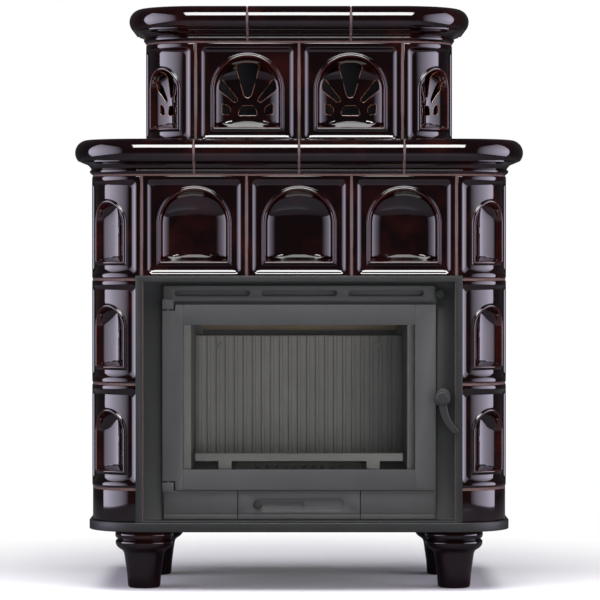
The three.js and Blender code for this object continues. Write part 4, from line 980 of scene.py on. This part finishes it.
knob("air_knob", "air_slider", "slider", [
    (0.0040, -0.0055), (0.0040, 0), (0.0070, 0.0002), (0.0078, 0.0015), (0.0078, 0.0062),
    (0.0084, 0.0075), (0.0085, 0.0098), (0.0078, 0.0108), (0.0060, 0.0112), (0.0010, 0.0113)])
knob("damper", "damper_knob", "damper", [
    (0.0038, -0.1095), (0.0040, -0.1085), (0.0040, 0), (0.0070, 0.0002), (0.0078, 0.0010),
    (0.0078, 0.0085), (0.0094, 0.0100), (0.0095, 0.0128), (0.0086, 0.0138), (0.0060, 0.0140),
    (0.0010, 0.0140)])


# ---------------------------------------------------------------- studio
# A pale floor lies before white. The glaze mirrors a softbox high in front and a tall one at
# each side, and soft lamps in front, low down and above fill in. The camera stands 7 m away.

PAPER_RADIUS = 0.7
WHITE_RADIUS = 1.25
floor_paper, place = finish("floor_paper")
distance = place.node("VectorMath", {"operation": "LENGTH"}, {0: place}, out=1)
edge = place.node("MapRange", {"interpolation_type": "SMOOTHSTEP"}, {
    "Value": distance, "From Min": PAPER_RADIUS, "From Max": WHITE_RADIUS,
    "To Min": 0, "To Max": 1})
seen = place.node("LightPath", {}, {}, out=0)
paper = place.node("BsdfDiffuse", {}, {"Color": (0.93, 0.93, 0.93, 1)})
white = place.node("Emission", {}, {"Color": (1, 1, 1, 1), "Strength": 1})
mirrored = place.node("BsdfDiffuse", {}, {"Color": (0.16, 0.16, 0.18, 1)})
bright = place.node("MixShader", {}, {0: edge, 1: paper, 2: white})
place.node("OutputMaterial", {}, {
    "Surface": place.node("MixShader", {}, {0: seen, 1: mirrored, 2: bright})})

only()
bpy.ops.mesh.primitive_circle_add(vertices=96, radius=4, fill_type="NGON")
floor = begun("floor")
floor.data.materials.append(floor_paper)

world = bpy.data.worlds.new("studio")
bpy.context.scene.world = world
world.use_nodes = True
world.node_tree.nodes.clear()
sky = Shade(world.node_tree.nodes.new("ShaderNodeLightPath").outputs[0])
dim = sky.node("Background", {}, {"Color": (0.9, 0.9, 1, 1), "Strength": 0.05})
white = sky.node("Background", {}, {"Color": (1, 1, 1, 1), "Strength": 1})
sky.node("OutputWorld", {}, {"Surface": sky.node("MixShader", {}, {0: sky, 1: dim, 2: white})})


def softbox(name, place, aim, size, watts, tint=(1, 1, 1), spread=180, glossy=True, diffuse=True):
    """A rectangular lamp aimed at a point; its light can be kept from gloss or from dull faces."""
    lamp = bpy.data.lights.new(name, "AREA")
    lamp.shape = "RECTANGLE"
    lamp.size, lamp.size_y = size
    lamp.energy = watts
    lamp.color = tint
    lamp.spread = radians(spread)
    stand = bpy.data.objects.new(name, lamp)
    stand.location = place
    stand.rotation_euler = (Vector(aim) - Vector(place)).to_track_quat("-Z", "Y").to_euler()
    stand.visible_glossy = glossy
    stand.visible_diffuse = diffuse
    bpy.context.collection.objects.link(stand)


LILAC = (0.86, 0.80, 1)
softbox("high_front", (0, -1.95, 2.75), (0, -0.1, 0.8), (1.9, 1.15), 120, diffuse=False)
softbox("tall_left", (-2.4, -2.4, 1.5), (0, -2.4, 1.5), (5.2, 3.0), 105, LILAC, 114)
softbox("tall_right", (2.4, -2.4, 1.5), (0, -2.4, 1.5), (5.2, 3.0), 95, LILAC, 110)
softbox("front", (1.2, -6.0, 0.60), (0, 0, 0.5), (2.4, 1.0), 200, glossy=False)
softbox("low_front", (0.5, -2.0, 0.15), (0, 0, 0.5), (1.8, 0.5), 26, glossy=False)
softbox("top", (0, -0.9, 3.2), (0, -0.5, 0), (3.0, 2.6), 150, glossy=False)

lens = bpy.data.cameras.new("camera")
lens.lens = 200.5
lens.sensor_width = 36
lens.clip_end = 50
camera = bpy.data.objects.new("camera", lens)
camera.location = (0.002, -7.282, 0.718)
camera.rotation_euler = (pi / 2 - radians(0.857), 0, 0)
bpy.context.collection.objects.link(camera)
bpy.context.scene.camera = camera
bpy.context.scene.view_settings.view_transform = "Standard"
